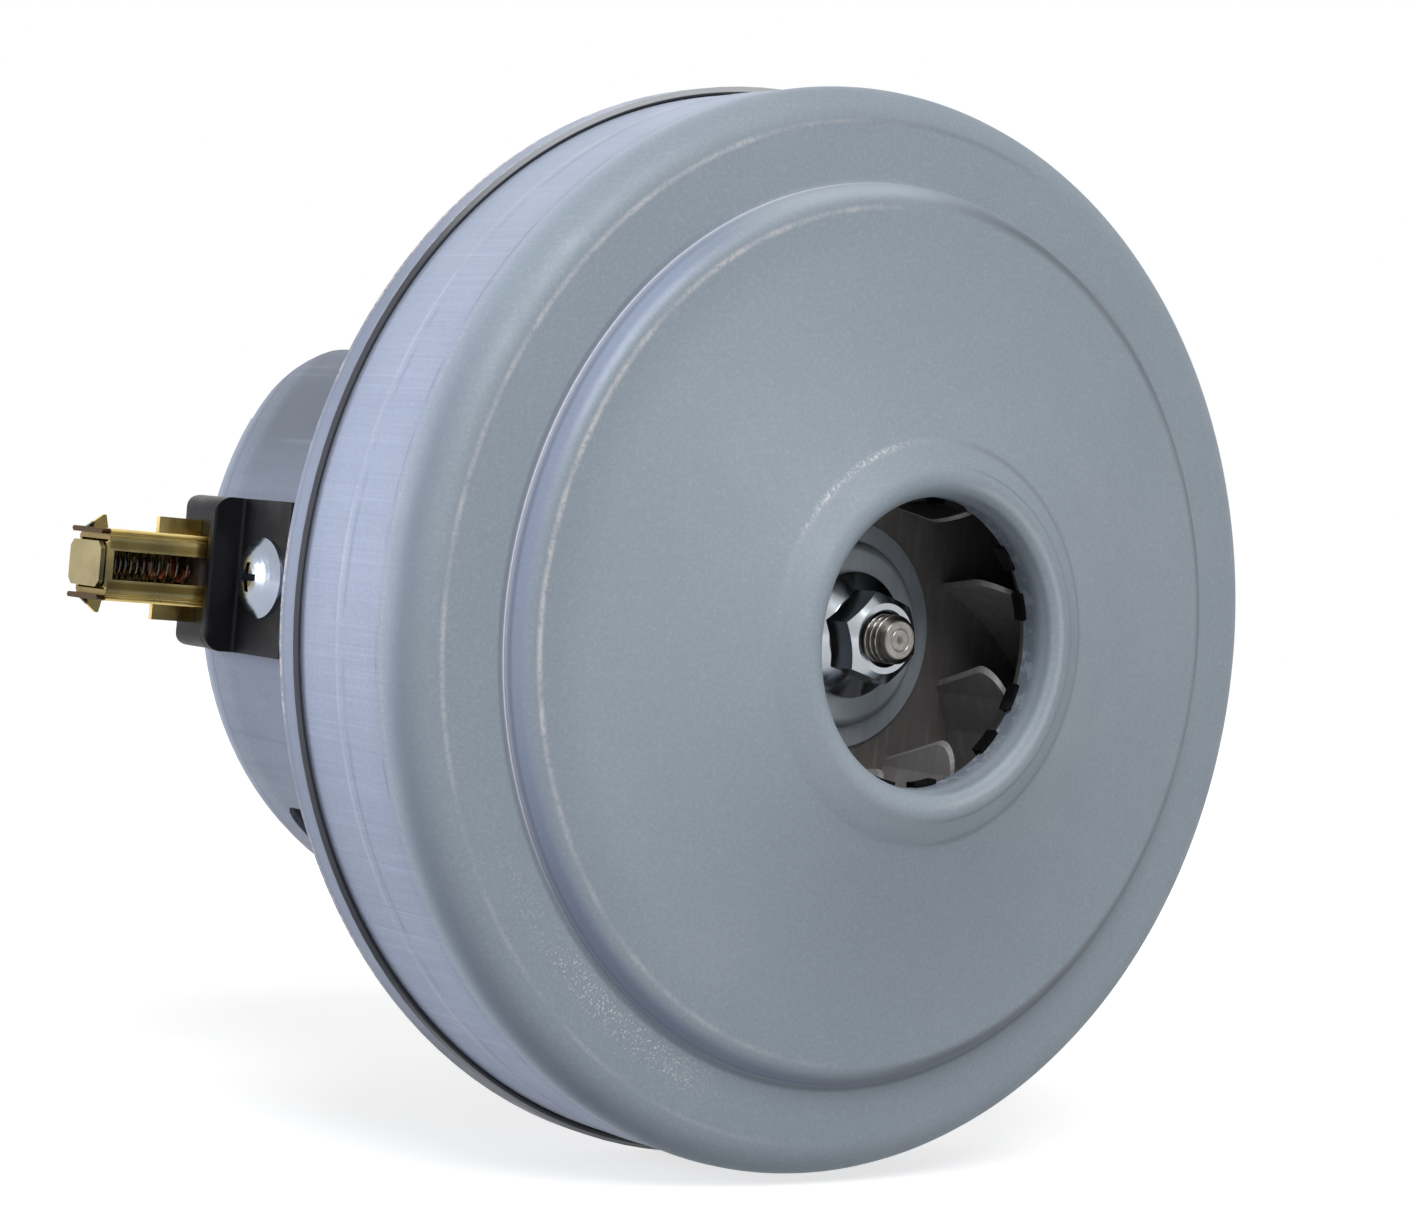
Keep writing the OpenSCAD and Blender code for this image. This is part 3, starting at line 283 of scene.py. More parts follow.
class RoundSurface(Surface):
    """A surface that knows where each of its points lies about the shaft."""

    def __init__(self, *settings, **sockets):
        super().__init__(*settings, **sockets)
        self.radius, self.along, self.left, self.up = self.polar()

    def ring(self, radius, width):
        """1 at a radius, falling to 0 at a width from it."""
        return self.band(self.radius, radius, width)

    def hoop(self, along, width):
        """1 at a place along the shaft, falling to 0 at a width from it."""
        return self.band(self.along, along, width)

    def facing(self, way, low, high):
        """0 to 1 by how near a point lies to a way, given as its shares of left and up."""
        lean = self.math("ADD", self.times(self.left, way[0]), self.times(self.up, way[1]))
        return self.remap(lean, low, high)


def srgb(r, g, b):
    """A colour given as it shows on screen, in the linear values that the shader takes."""
    return tuple((c / 255 / 12.92) if c <= 10 else ((c / 255 + 0.055) / 1.055) ** 2.4 for c in (r, g, b))


def dress(surface, *nodes):
    """Gives CAD nodes their material."""
    for node in nodes:
        for holder in NODES[node].material_slots:
            holder.material = surface.material


def finish_piece(piece, surface, body, slot, *nodes):
    """Gives a piece its material and its body, and hides the CAD nodes that it stands for; its slot is
    not used.
    """
    piece.data.materials.append(surface.material)
    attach(piece, body)
    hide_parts(*nodes)
    return piece


# Camera at the photograph's viewpoint

CAMERA_LENS, CAMERA_SENSOR = 83.72, 36
CAMERA_PLACE = (-261.6, -328.6, 7.7)
CAMERA_AHEAD, CAMERA_RIGHT = (0.6143, 0.7890, -0.0165), (0.7867, -0.6106, 0.0910)


def make_camera():
    data = bpy.data.cameras.new("camera")
    data.sensor_fit = "HORIZONTAL"
    data.sensor_width = CAMERA_SENSOR
    data.lens = CAMERA_LENS
    data.clip_start, data.clip_end = 0.01, 20
    camera = bpy.data.objects.new("camera", data)
    bpy.context.scene.collection.objects.link(camera)
    forward = Vector(CAMERA_AHEAD).normalized()
    right = Vector(CAMERA_RIGHT)
    right = (right - forward * right.dot(forward)).normalized()
    up = right.cross(forward)
    turn = Matrix((right, up, -forward)).transposed().to_4x4()
    camera.matrix_world = Matrix.Translation(Vector(CAMERA_PLACE) * MM) @ turn
    bpy.context.scene.camera = camera


# Stage: pale floor, white surroundings and soft lamps

SKY_LIGHT, SKY_SEEN = 0.25, 1.0
FLOOR_HALF, FLOOR_Z, FLOOR_GREY = 3000, -67.6, 0.45
FLOOR_GLOW_NEAR, FLOOR_GLOW_FAR = 0.70, 0.85
LAMPS = (("key_lamp", (-0.46, -0.90, 1.04), 0.8, 17, (0.98, 0.99, 1.0)),
         ("side_lamp", (-1.05, 0.5, 0.08), 0.6, 9.5, (0.90, 0.94, 1.0)),
         ("fill_lamp", (0.9, -0.9, 0.35), 1.0, 0.3, (1, 1, 1)),
         ("back_lamp", (0.4, 1.1, 0.8), 0.9, 1.5, (1, 1, 1)))


def seen_by_lens(tree):
    """1 for camera, glossy and transmission rays, 0 for the light that falls on surfaces."""
    path = tree.nodes.new("ShaderNodeLightPath")
    total = path.outputs["Is Camera Ray"]
    for name in ("Is Glossy Ray", "Is Transmission Ray"):
        most = tree.nodes.new("ShaderNodeMath")
        most.operation = "MAXIMUM"
        tree.links.new(total, most.inputs[0])
        tree.links.new(path.outputs[name], most.inputs[1])
        total = most.outputs[0]
    return total


def make_world():
    world = bpy.data.worlds.new("studio")
    world.use_nodes = True
    bpy.context.scene.world = world
    tree = world.node_tree
    sky = tree.nodes["Background"]
    sky.inputs["Color"].default_value = (1, 1, 1, 1)
    span = tree.nodes.new("ShaderNodeMapRange")
    span.inputs["To Min"].default_value = SKY_LIGHT
    span.inputs["To Max"].default_value = SKY_SEEN
    tree.links.new(seen_by_lens(tree), span.inputs["Value"])
    tree.links.new(span.outputs[0], sky.inputs["Strength"])


def make_floor():
    """A pale floor that shows white but for the object's soft shadow."""
    corners = ((-1, -1), (1, -1), (1, 1), (-1, 1))
    points = [(x * FLOOR_HALF, y * FLOOR_HALF, FLOOR_Z) for x, y in corners]
    floor = make_piece("floor", points, [(0, 1, 2, 3)])
    pale = Surface("pale_floor", (FLOOR_GREY,) * 3, 0.0, 0.9)
    pale.shade(pale.noise(4), 0.01)
    pale.put(pale.shader.inputs["Emission Color"], (1, 1, 1, 1))
    away = pale.node("ShaderNodeVectorMath", {0: pale.place}, operation="LENGTH").outputs["Value"]
    glow = pale.remap(away, 0.1, 0.5, FLOOR_GLOW_NEAR, FLOOR_GLOW_FAR)
    pale.put(pale.shader.inputs["Emission Strength"], pale.times(seen_by_lens(pale.tree), glow))
    floor.data.materials.append(pale.material)


def make_lamp(name, place, size, power, colour):
    data = bpy.data.lights.new(name, "AREA")
    data.shape = "DISK"
    data.size = size
    data.energy = power
    data.color = colour
    lamp = bpy.data.objects.new(name, data)
    bpy.context.scene.collection.objects.link(lamp)
    lamp.location = place
    lamp.rotation_euler = (-Vector(place)).to_track_quat("-Z", "Y").to_euler()


# Sheet metal of the cover and the casing

PALE_WEAR_AND_HIGHLIGHT = srgb(206, 202, 204)
FRONT_GREY = srgb(138, 149, 159)
# The skirt's grey with a painted reflection of bluish side light
SKIRT_GREY_AND_BLUE_SHEEN = srgb(154, 163, 184)
CASING_GREY = srgb(124, 132, 151)
# Painted light, for the cone's left side and the lip's lower part
PAINTED_LIGHT = srgb(200, 208, 216)
GRAIN = 0.02
EXTRA_DULLNESS = 0.17

# Radii of the marks and of the painted light and shade on the cover's front
THROAT_R, THROAT_EDGE_R, LIP_CREST_R, LIP_BACK_R, LIP_FOOT_R = 17.55, 17.9, 19.3, 21.2, 24.2
CREST_R, STEP_TURN_R, FLANK_R = 51.8, 53.1, 54.0
FLANK_LINE_R, FOOT_LINE_R, CREASE_R = 54.42, 54.74, 55.15
SPECK_PATCH_R, SPECK_TRAIL_R, SHOULDER_LINE_R = 57.4, 58.2, 62.2

# Places of the marks and of the painted shade lines along the shaft
RIDGE_Y, RIDGE_SHADE_Y, GROOVE_Y, BEND_Y, SHOULDER_Y = -10.3, -11.6, -18.5, -19.6, -22.8
COLLAR_FRONT_Y, COLLAR_BACK_Y = -2.4, 0.4
CAN_FOOT_Y, CAN_LINE_Y, CAN_CORNER_Y = 7.6, 54.9, 57.6

# Ways to the marks, as shares of left and up
ARC_WAY, CREST_WAY, PATCH_WAY, TRAIL_WAY = (0.53, 0.848), (0.75, 0.66), (0.574, -0.819), (0.66, -0.75)


def zinc_sheet(name, colour):
    """Dull zinc-coated sheet before its grain and marks."""
    return RoundSurface(name, colour, 0.10, 0.44, **{"Specular IOR Level": 0.35})


def sheet_grain(s):
    """Fine grain, soft clouds and small dents that all the zinc-coated sheet shares."""
    s.shade(s.noise(30, 3), GRAIN)
    s.shade(s.noise(2400, 2), 2 * GRAIN)
    s.vary_roughness(s.noise(160, 3), 0.38, 0.50)
    s.bump(s.noise(1800, 2), 0.010, 0.5)
    s.bump(s.noise(55, 2), 0.03, 0.4)


def pale_wear_and_highlight(s, amount, *masks):
    """Coating worn down to pale metal; on the lip's crest the same pale colour is a painted highlight.
    """
    s.tint(PALE_WEAR_AND_HIGHLIGHT, amount, *masks)


def mark_skirt(s, skirt, left_side, fine, patchy):
    """Streaks along the draw, faint rings round it, worn lines on its ridges, a greyer top of painted
    shade, dark dashed lines of painted shade in its groove and beside a ridge, and painted shade on the
    shoulder's left.
    """
    streaks = s.noise(2400, 3, (1, 0.016, 1))
    rings = s.noise(800, 3, (0, 1, 0))
    dashes = s.remap(s.noise(130, 3), 0.40, 0.60)
    s.tint(srgb(205, 211, 232), 0.17, skirt, s.remap(streaks, 0.52, 0.75))
    s.tint(srgb(120, 126, 150), 0.17, skirt, s.remap(streaks, 0.48, 0.25))
    # Painted shade: the skirt's top tinted greyer and less blue
    s.tint(srgb(158, 168, 178), 0.35, skirt, s.remap(s.up, 0.3, 0.8))
    s.tint(srgb(128, 134, 158), 0.10, skirt, s.remap(rings, 0.55, 0.75))
    pale_wear_and_highlight(s, 0.32, s.hoop(RIDGE_Y, 0.45), patchy)
    pale_wear_and_highlight(s, 0.25, s.hoop(BEND_Y, 0.4), fine, patchy)
    # Painted shade: dashed dark lines in the groove and beside the ridge
    s.tint(srgb(104, 111, 134), 0.42, s.hoop(GROOVE_Y, 0.3), dashes)
    s.tint(srgb(118, 126, 150), 0.40, s.hoop(RIDGE_SHADE_Y, 0.6), dashes)
    # Painted shade on the shoulder's left side, fading out towards its top
    shoulder = s.times(s.hoop(SHOULDER_Y, 2.8), s.remap(s.radius, 63.0, 64.5))
    s.tint(srgb(100, 108, 124), 0.60, shoulder, left_side, s.remap(s.up, 0.7, 0.1))


def mark_inlet(s, left_side, right_side, fine, patchy):
    """Painted light on the cone's left and the lip's lower part, a spattered throat under painted shade,
    painted shade lines and a painted highlight round the lip's right side, and a worn arc high on its
    left.
    """
    # Painted light on the cone's left side
    s.tint(PAINTED_LIGHT, 0.10, s.remap(s.left, -0.2, 1.0), s.remap(s.radius, 51.0, 45.0))
    # Painted light on the lip's lower part
    s.tint(PAINTED_LIGHT, 0.14, s.remap(s.up, -0.2, -0.8), s.remap(s.radius, 25.0, 22.0))
    throat = s.times(s.remap(s.radius, THROAT_EDGE_R, THROAT_R), s.remap(s.along, -36.5, -35.0))
    # Painted shade on the throat's wall; the spatter over it is the sheet's own
    s.tint(srgb(84, 90, 106), 0.55, throat)
    s.tint(srgb(165, 173, 184), 0.55, throat, s.remap(s.noise(600, 3), 0.48, 0.62))
    pale_wear_and_highlight(s, 0.90, s.ring(LIP_FOOT_R, 0.60), s.facing(ARC_WAY, 0.76, 0.94), left_side, fine, patchy)
    # Painted shade: dark lines at the lip's foot, behind its roll and at the throat's edge, on the right
    # side only
    s.tint(srgb(88, 92, 98), 0.34, s.ring(LIP_FOOT_R, 0.7), right_side)
    s.tint(srgb(98, 105, 114), 0.35, s.ring(LIP_BACK_R, 0.4), right_side)
    s.tint(srgb(80, 88, 100), 0.45, s.ring(THROAT_EDGE_R, 0.45), right_side)
    # Painted highlight along the lip's crest on the right side, in the pale wear colour
    pale_wear_and_highlight(s, 0.25, s.ring(LIP_CREST_R, 0.6), right_side)


def mark_step(s, left_side, right_side, thick, patchy):
    """The step's flank with a bluish painted reflection on the left, a painted highlight on top and
    painted shade below, painted shade lines at the crest on the right and at the step's foot, its worn
    crest, and a painted highlight line along the foot on the left.
    """
    flank = s.ring(FLANK_R, 1.5)
    # Painted reflection: a bluish tint on the flank's left, standing in for the side lamp's light
    s.tint(srgb(142, 152, 188), 0.45, flank, left_side, s.remap(s.up, 0.97, 0.7))
    # Painted highlight on the flank's top
    s.tint(srgb(190, 198, 206), 0.50, flank, s.remap(s.up, 0.8, 0.97), s.remap(s.left, -0.2, 0.1))
    # Painted shade on the flank's lower part
    s.tint(srgb(72, 78, 102), 0.40, flank, s.remap(s.up, -0.1, -0.8))
    # Painted shade: a dark line where the step turns, on the right side
    s.tint(srgb(72, 76, 82), 0.75, s.ring(STEP_TURN_R, 1.4), right_side)
    off_top = s.remap(s.up, 0.95, 0.6)
    # Painted shade: dark lines in the crease beyond the step's foot and at the flank's foot
    s.tint(srgb(92, 98, 110), 0.5, s.ring(CREASE_R, 0.5), off_top)
    s.tint(srgb(96, 102, 130), 0.5, s.ring(FLANK_LINE_R, 0.22), off_top)
    upper_left = s.remap(s.facing(CREST_WAY, 0.1, 0.8), 0.0, 1.0, 0.4, 1.0)
    pale_wear_and_highlight(s, 0.80, s.ring(CREST_R, 0.56), left_side, upper_left, thick, patchy)
    # Painted highlight: a thin bright line along the step's foot on the left
    foot = s.times(s.ring(FOOT_LINE_R, 0.12), left_side, s.remap(s.up, -0.75, -0.3, 0.15, 1.0))
    s.tint(srgb(214, 212, 222), s.remap(s.up, 0.3, 0.7, 0.95, 0.65), foot)


def mark_annulus(s, left_side, thick, patchy):
    """A line before the shoulder, dark on top and worn on the left, and pale specks low on the left."""
    s.tint(srgb(100, 106, 114), 0.30, s.ring(SHOULDER_LINE_R, 0.6), s.remap(s.up, 0.92, 0.99))
    above = s.remap(s.up, -0.5, 0.2, 0.35, 1.0)
    pale_wear_and_highlight(s, 0.60, s.ring(SHOULDER_LINE_R, 0.52), left_side, above, thick, patchy)
    specks = s.remap(s.noise(3400, 3), 0.57, 0.64)
    pale_wear_and_highlight(s, 0.95, s.ring(SPECK_PATCH_R, 2.6), s.facing(PATCH_WAY, 0.962, 0.992), specks)
    pale_wear_and_highlight(s, 0.30, s.ring(SPECK_TRAIL_R, 3.4), s.facing(TRAIL_WAY, 0.86, 0.98), specks)


def cover_metal():
    """Grey front, duller skirt painted bluish as a painted reflection of bluish side light, and all the
    marks, painted light and painted shade of the drawn cover.
    """
    s = zinc_sheet("cover_zinc", FRONT_GREY)
    skirt = s.remap(s.along, -23.5, -15.5)
    # Painted reflection: the skirt's bluer grey stands in for bluish light from the side
    s.vary_colour(skirt, SKIRT_GREY_AND_BLUE_SHEEN)
    sheet_grain(s)
    rough = s.shader.inputs["Roughness"]
    duller = s.math("MAXIMUM", s.remap(s.along, -26.0, -23.5), s.remap(s.radius, 26.0, 23.0))
    s.put(rough, s.math("ADD", rough.links[0].from_socket, s.times(duller, EXTRA_DULLNESS)))
    left_side = s.remap(s.left, -0.1, 0.5)
    right_side = s.remap(s.left, 0.1, -0.35)
    patchy = s.remap(s.noise(140, 3), 0.38, 0.62, 0.35, 1.0)
    fine = s.remap(s.noise(2600, 3), 0.42, 0.62)
    thick = s.remap(s.noise(2200, 3), 0.30, 0.55, 0.25, 1.0)
    mark_skirt(s, skirt, left_side, fine, patchy)
    mark_inlet(s, left_side, right_side, fine, patchy)
    mark_step(s, left_side, right_side, thick, patchy)
    mark_annulus(s, left_side, thick, patchy)
    return s


def mark_can(s, fine):
    """Painted shade on the can's upper side, draw marks along it, painted highlights in bands by its
    rear corner, a thin dark line at the corner and faint worn lines at both ends.
    """
    # Painted shade on the can's upper side, clear of its very top
    s.tint(srgb(88, 95, 104), 0.90, s.remap(s.up, 0.1, 0.5), s.remap(s.up, 1.0, 0.55))
    draw = s.noise(520, 3, (1, 0.04, 1))
    s.tint(srgb(150, 157, 174), 0.25, s.remap(draw, 0.52, 0.75))
    s.tint(srgb(84, 88, 100), 0.25, s.remap(draw, 0.48, 0.25))
    wall = s.remap(s.radius, 43.0, 44.6)
    outer = s.remap(s.radius, 38.0, 42.0)
    # Painted highlights: paler bands towards and on the rounded rear corner
    s.tint(srgb(150, 160, 178), 0.30, s.remap(s.along, 52.0, 57.0), outer)
    s.tint(srgb(158, 168, 188), 0.35, s.remap(s.along, 58.0, 59.0), outer)
    s.tint(srgb(82, 86, 100), 0.40, wall, s.hoop(CAN_CORNER_Y, 0.4))
    pale_wear_and_highlight(s, 0.14, wall, s.hoop(CAN_LINE_Y, 0.35), fine)
    pale_wear_and_highlight(s, 0.35, wall, s.hoop(CAN_FOOT_Y, 0.8), fine, s.remap(s.radius, 47.5, 46.5))


def mark_collar(s, fine):
    """The rim collar: turning marks, worn corners, painted shade on its underside, and a dark grey cut
    edge with painted light on top and on its outer part below, and painted shade in the gap beside the
    skirt.
    """
    collar = s.remap(s.radius, 66.6, 67.2)
    turns = s.noise(1500, 2, (0, 1, 0))
    patches = s.remap(s.noise(70, 2), 0.38, 0.52)
    below = s.remap(s.up, -0.62, -0.9)
    s.tint(srgb(136, 145, 166), 0.70, collar)
    s.tint(srgb(104, 110, 128), 0.35, collar, s.remap(turns, 0.5, 0.65))
    pale_wear_and_highlight(s, 0.60, collar, s.hoop(COLLAR_FRONT_Y, 0.5), fine, s.remap(s.up, 0.2, 0.8))
    s.tint(srgb(204, 190, 182), 0.85, collar, s.hoop(COLLAR_BACK_Y, 0.5), fine, patches)
    # Painted shade on the collar's underside
    s.tint(srgb(46, 49, 58), 0.75, collar, below)
    edge = s.remap(s.along, -2.40, -2.47)
    s.vary_colour(edge, srgb(86, 86, 88))
    # Painted light: the cut edge paler on top
    s.vary_colour(s.times(edge, s.remap(s.up, 0.55, 0.9)), srgb(186, 186, 186))
    # Painted light: a pale outer line on the cut edge below, where the skirt shades it
    s.vary_colour(s.times(edge, below, s.remap(s.radius, 67.0, 67.15)), srgb(200, 198, 196))
    # Painted shade in the gap between the cut edge and the skirt
    s.vary_colour(s.times(edge, s.remap(s.radius, 66.90, 66.78)), srgb(44, 45, 52))


def casing_metal():
    """Bluish grey of the can and its flange, with their marks and their painted light and shade."""
    s = zinc_sheet("casing_zinc", CASING_GREY)
    sheet_grain(s)
    fine = s.remap(s.noise(1600, 4), 0.40, 0.62)
    mark_can(s, fine)
    mark_collar(s, fine)
    return s


# Fan cover as a fine lathe of the drawn sheet

COVER_T, COVER_SEGMENTS = 0.8, 288
INLET_R, LIP_W, LIP_ROLL, LIP_SLOPE, THROAT_LEN = 17.5, 6.8, 2.3, 30, 2.6
STEP_R, STEP_FLANK, STEP_CREST, STEP_RISER, SKIRT_R = 54.7, 1.6, 2.6, 0.4, 66.5
CONE_FLARE = 0.28
CONE_Y, CONE_RISE, STEP_Y, ANNULUS_Y, SKIRT_BACK = -28.8, 7.45, -26.5, -25.0, -0.3
SKIRT_TOP_Y, SKIRT_INSET = -19.6, 0.08
SKIRT_RIDGES = ((-18.6, 0.4, -0.05), (-10.3, 0.6, 0.06), (-4.6, 0.6, -0.03))


def skirt_radius(y):
    """The skirt with the low ridges that the draw left round it."""
    ridge = sum(high * math.exp(-((y - at) / wide) ** 2) for at, wide, high in SKIRT_RIDGES)
    return SKIRT_R - SKIRT_INSET + ridge


def cover_path():
    """Outer path of the sheet from the throat over the lip, cone, step and shoulder down the skirt."""
    slope = math.radians(LIP_SLOPE)
    lip_r = INLET_R + LIP_ROLL
    foot_r, foot_y = INLET_R + LIP_W, CONE_Y - CONE_RISE
    end_r = lip_r + LIP_ROLL * math.sin(slope)
    end_y = foot_y - (foot_r - end_r) * math.tan(slope)
    lip_y = end_y + LIP_ROLL * math.cos(slope)
    roll = arc_points((lip_r, lip_y), LIP_ROLL, 180, 270 + LIP_SLOPE, 20)
    crest_r = STEP_R - STEP_FLANK
    rise = CONE_RISE / (STEP_R - foot_r)

    def flared(r):
        bulge = CONE_FLARE / 2 * (r - foot_r) * (crest_r - r) / (crest_r - foot_r)
        return foot_y + rise * (r - foot_r) + bulge

    flare = [(r, flared(r), 0) for r in np.linspace(foot_r, crest_r - STEP_CREST, 31)[1:]]
    front = rounded_path([(end_r, end_y, 0), (foot_r, foot_y, 3), *flare,
                          (crest_r, flared(crest_r), STEP_CREST),
                          (STEP_R, STEP_Y - STEP_RISER, 0.3), (STEP_R, STEP_Y, 0.15),
                          (SKIRT_R, ANNULUS_Y, 5), (SKIRT_R, SKIRT_BACK, 0)])
    skirt = [(skirt_radius(y), y) for y in np.arange(SKIRT_TOP_Y, SKIRT_BACK, 0.3)]
    return held_straight([(INLET_R, lip_y + THROAT_LEN)] + roll + front[1:-1] + skirt)


def make_cover():
    mesh = turned_mesh(sheet_outline(cover_path(), COVER_T), COVER_SEGMENTS)
    piece = make_piece("cover_shell", *mesh, smooth_angle=50)
    finish_piece(piece, cover_metal(), "housing", "cover_sheet", "fan_cover")


# Shaft with its rolled thread

THREAD_R, THREAD_DEPTH, PITCH = 3.0, 0.5, 0.95
TIP_Y, THREAD_END = -30.7, -26.0
SHAFT_SEGMENTS = 72

# Radius and depth of the tip's face, then radius and place of the shaft behind the thread
TIP_FACE = ((0.02, 0.12), (0.30, 0.10), (0.52, 0.02), (0.60, 0.0), (1.22, 0.0), (1.30, 0.06),
            (1.40, 0.06), (1.48, 0.0), (2.15, 0.0))
SHAFT_BACK = ((2.95, THREAD_END), (2.95, -17.1), (4.0, -17.1), (4.0, 7.55), (5.0, 7.55), (5.0, 64.75),
              (3.5, 64.75), (3.5, 70.6), (3.0, 71.1), (0.02, 71.1))


def shaft_rows():
    """Profile rows of the shaft: (radius, y, whether the thread runs there)."""
    rows = [(r, TIP_Y + y, False) for r, y in TIP_FACE]
    for y in np.arange(TIP_Y + 0.04, THREAD_END, 0.06):
        rows.append((min(THREAD_R, 2.2 + (y - TIP_Y) * 1.3), y, True))
    return rows + [(r, y, False) for r, y in SHAFT_BACK]


def shaft_ring(r, y, threaded, angles):
    """One ring of points, cut back by the thread's groove where that runs."""
    radius = np.full(len(angles), r)
    if threaded:
        phase = np.mod(y / PITCH - angles / TURN, 1.0)
        groove = THREAD_DEPTH * np.clip(1.25 * np.abs(2 * phase - 1) - 0.12, 0, 1)
        radius = np.minimum(r, THREAD_R - groove)
    return np.stack([radius * np.cos(angles), np.full(len(angles), y), radius * np.sin(angles)], axis=1)


def make_shaft(surface):
    angles = np.linspace(0, TURN, SHAFT_SEGMENTS, endpoint=False)
    rings = [shaft_ring(*row, angles) for row in shaft_rows()]
    last = (len(rings) - 1) * SHAFT_SEGMENTS
    faces = grid_faces(len(rings), SHAFT_SEGMENTS)
    faces += [tuple(range(SHAFT_SEGMENTS))[::-1], tuple(range(last, last + SHAFT_SEGMENTS))]
    piece = make_piece("threaded_shaft", np.vstack(rings), faces, smooth_angle=35)
    finish_piece(piece, surface, "rotor", "shaft_steel", "rotor_shaft")


# Brush springs and pigtails, wound about the brush axis

BRUSH_Y = 51.5
SPRING_FROM, SPRING_TO, SPRING_TURNS, SPRING_TIGHT = 52.325, 65.775, 14, 0.62
SPRING_R, SPRING_WIRE = 2.275, 0.22
PIGTAIL_FROM, PIGTAIL_TO, PIGTAIL_TURNS, PIGTAIL_SWING = 52.65, 65.45, 3, 1.2
PIGTAIL_CROWDING = 1.5
STRAND_R, STRAND_RING, STRANDS, STRAND_LAY = 0.19, 0.35, 6, 2.6


def brush_axis_point(side, x, radius, angle):
    """Points round the axis that a brush slides on."""
    return np.stack([side * x, BRUSH_Y + radius * np.cos(angle), radius * np.sin(angle)], axis=-1)


def spring_mesh(side):
    """A spring whose turns draw closer towards the cap."""
    u = np.linspace(0, 1, 28 * SPRING_TURNS + 1)
    tight = SPRING_TIGHT * SPRING_TURNS
    x = SPRING_FROM + tight * u + (SPRING_TO - SPRING_FROM - tight) * (1 - (1 - u) ** 3)
    path = brush_axis_point(side, x, SPRING_R, TURN * SPRING_TURNS * u)
    return tube_mesh(path, SPRING_WIRE, 10)


def pigtail_mesh(side):
    """A strand of fine wires laid round each other along the pigtail's loops."""
    u = np.linspace(0, 1, 64 * PIGTAIL_TURNS + 1)
    x = PIGTAIL_FROM + (PIGTAIL_TO - PIGTAIL_FROM) * u ** PIGTAIL_CROWDING
    path = brush_axis_point(side, x, PIGTAIL_SWING * (1 - 0.6 * u), math.pi + TURN * PIGTAIL_TURNS * u)
    ahead = np.gradient(path, axis=0)
    ahead /= np.linalg.norm(ahead, axis=1)[:, None]
    out = np.cross(ahead, [1.0, 0.0, 0.0])
    out /= np.linalg.norm(out, axis=1)[:, None]
    across = np.cross(ahead, out)
    run = np.concatenate([[0], np.cumsum(np.linalg.norm(np.diff(path, axis=0), axis=1))])
    wires = [tube_mesh(path, STRAND_R, 6)]
    for k in range(STRANDS):
        turn = (TURN * (run / STRAND_LAY + k / STRANDS))[:, None]
        away = STRAND_RING * (np.cos(turn) * out + np.sin(turn) * across)
        wires.append(tube_mesh(path + away, STRAND_R, 6))
    return join_meshes(wires)


def make_brush_wires(spring_surface, strand_surface):
    for name, side in (("left", -1), ("right", 1)):
        wound = (("spring", spring_mesh(side), spring_surface, "spring_steel"),
                 ("pigtail", pigtail_mesh(side), strand_surface, "bare_copper"))
        for kind, mesh, surface, slot in wound:
            piece = make_piece(f"wound_{kind}_{name}", *mesh)
            finish_piece(piece, surface, "housing", slot, f"brush_{kind}_{name}")
            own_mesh(piece)


# Field coils: a section ridged by its wires, swept round each pole

COIL_LOW_R, COIL_HIGH_R, COIL_FLOOR = 25.0, 35.5, 10.1
COIL_MID_Y = 28.0
COIL_INNER, COIL_OUTER = (15.5, 14.1, 1.3), (26.3, 18.9, 6.0)


def racetrack(half_w, half_l, corner, per_side=16, per_corner=10):
    """Points round a rectangle with rounded corners, in matching order for any size."""
    points = []
    for k, (sx, sy) in enumerate(((1, 1), (-1, 1), (-1, -1), (1, -1))):
        centre = (sx * (half_w - corner), sy * (half_l - corner))
        turn = arc_points(centre, corner, 90 * k, 90 * k + 90, per_corner)
        tx, ty = ((-1, 1), (-1, -1), (1, -1), (1, 1))[k]
        short_w, short_l = (corner, 0) if k % 2 == 0 else (0, corner)
        end = np.array(turn[-1])
        ahead = np.array((tx * (half_w - short_w), ty * (half_l - short_l)))
        points += turn
        points += [tuple(end + (ahead - end) * i / per_side) for i in range(1, per_side)]
    return np.array(points)


def ridged_square(ridges, per_ridge, depth):
    """A unit square whose sides bulge once for each wire."""
    t = np.arange(ridges * per_ridge) / (ridges * per_ridge)
    inset = depth * (1 - np.abs(np.sin(math.pi * ridges * t)))
    run = inset[0] + t * (1 - 2 * inset[0])
    return np.concatenate([np.stack(side, axis=1) for side in (
        (run, inset), (1 - inset, run), (1 - run, 1 - inset), (inset, 1 - run))])


def field_coil_mesh(side):
    """One coil between its inner and outer racetrack, curved to the core."""
    section = ridged_square(ridges=11, per_ridge=5, depth=0.03)
    inner, outer = racetrack(*COIL_INNER), racetrack(*COIL_OUTER)
    w, u = section[:, 0], section[:, 1]
    x = inner[:, :1] + (outer - inner)[:, :1] * w
    y = inner[:, 1:] + (outer - inner)[:, 1:] * w
    low = np.sqrt(np.maximum(COIL_LOW_R ** 2 - x ** 2, COIL_FLOOR ** 2))
    high = np.sqrt(COIL_HIGH_R ** 2 - x ** 2)
    z = low + (high - low) * u
    verts = np.stack([side * x, COIL_MID_Y + y, side * z], axis=2).reshape(-1, 3)
    return verts, grid_faces(len(inner), len(section), wrap_rows=True)


def make_field_coils(surface):
    for name, side in (("upper", 1), ("lower", -1)):
        piece = make_piece(f"wound_coil_{name}", *field_coil_mesh(side), smooth_angle=70)
        finish_piece(piece, surface, "housing", "enamelled_copper", f"field_coil_{name}")


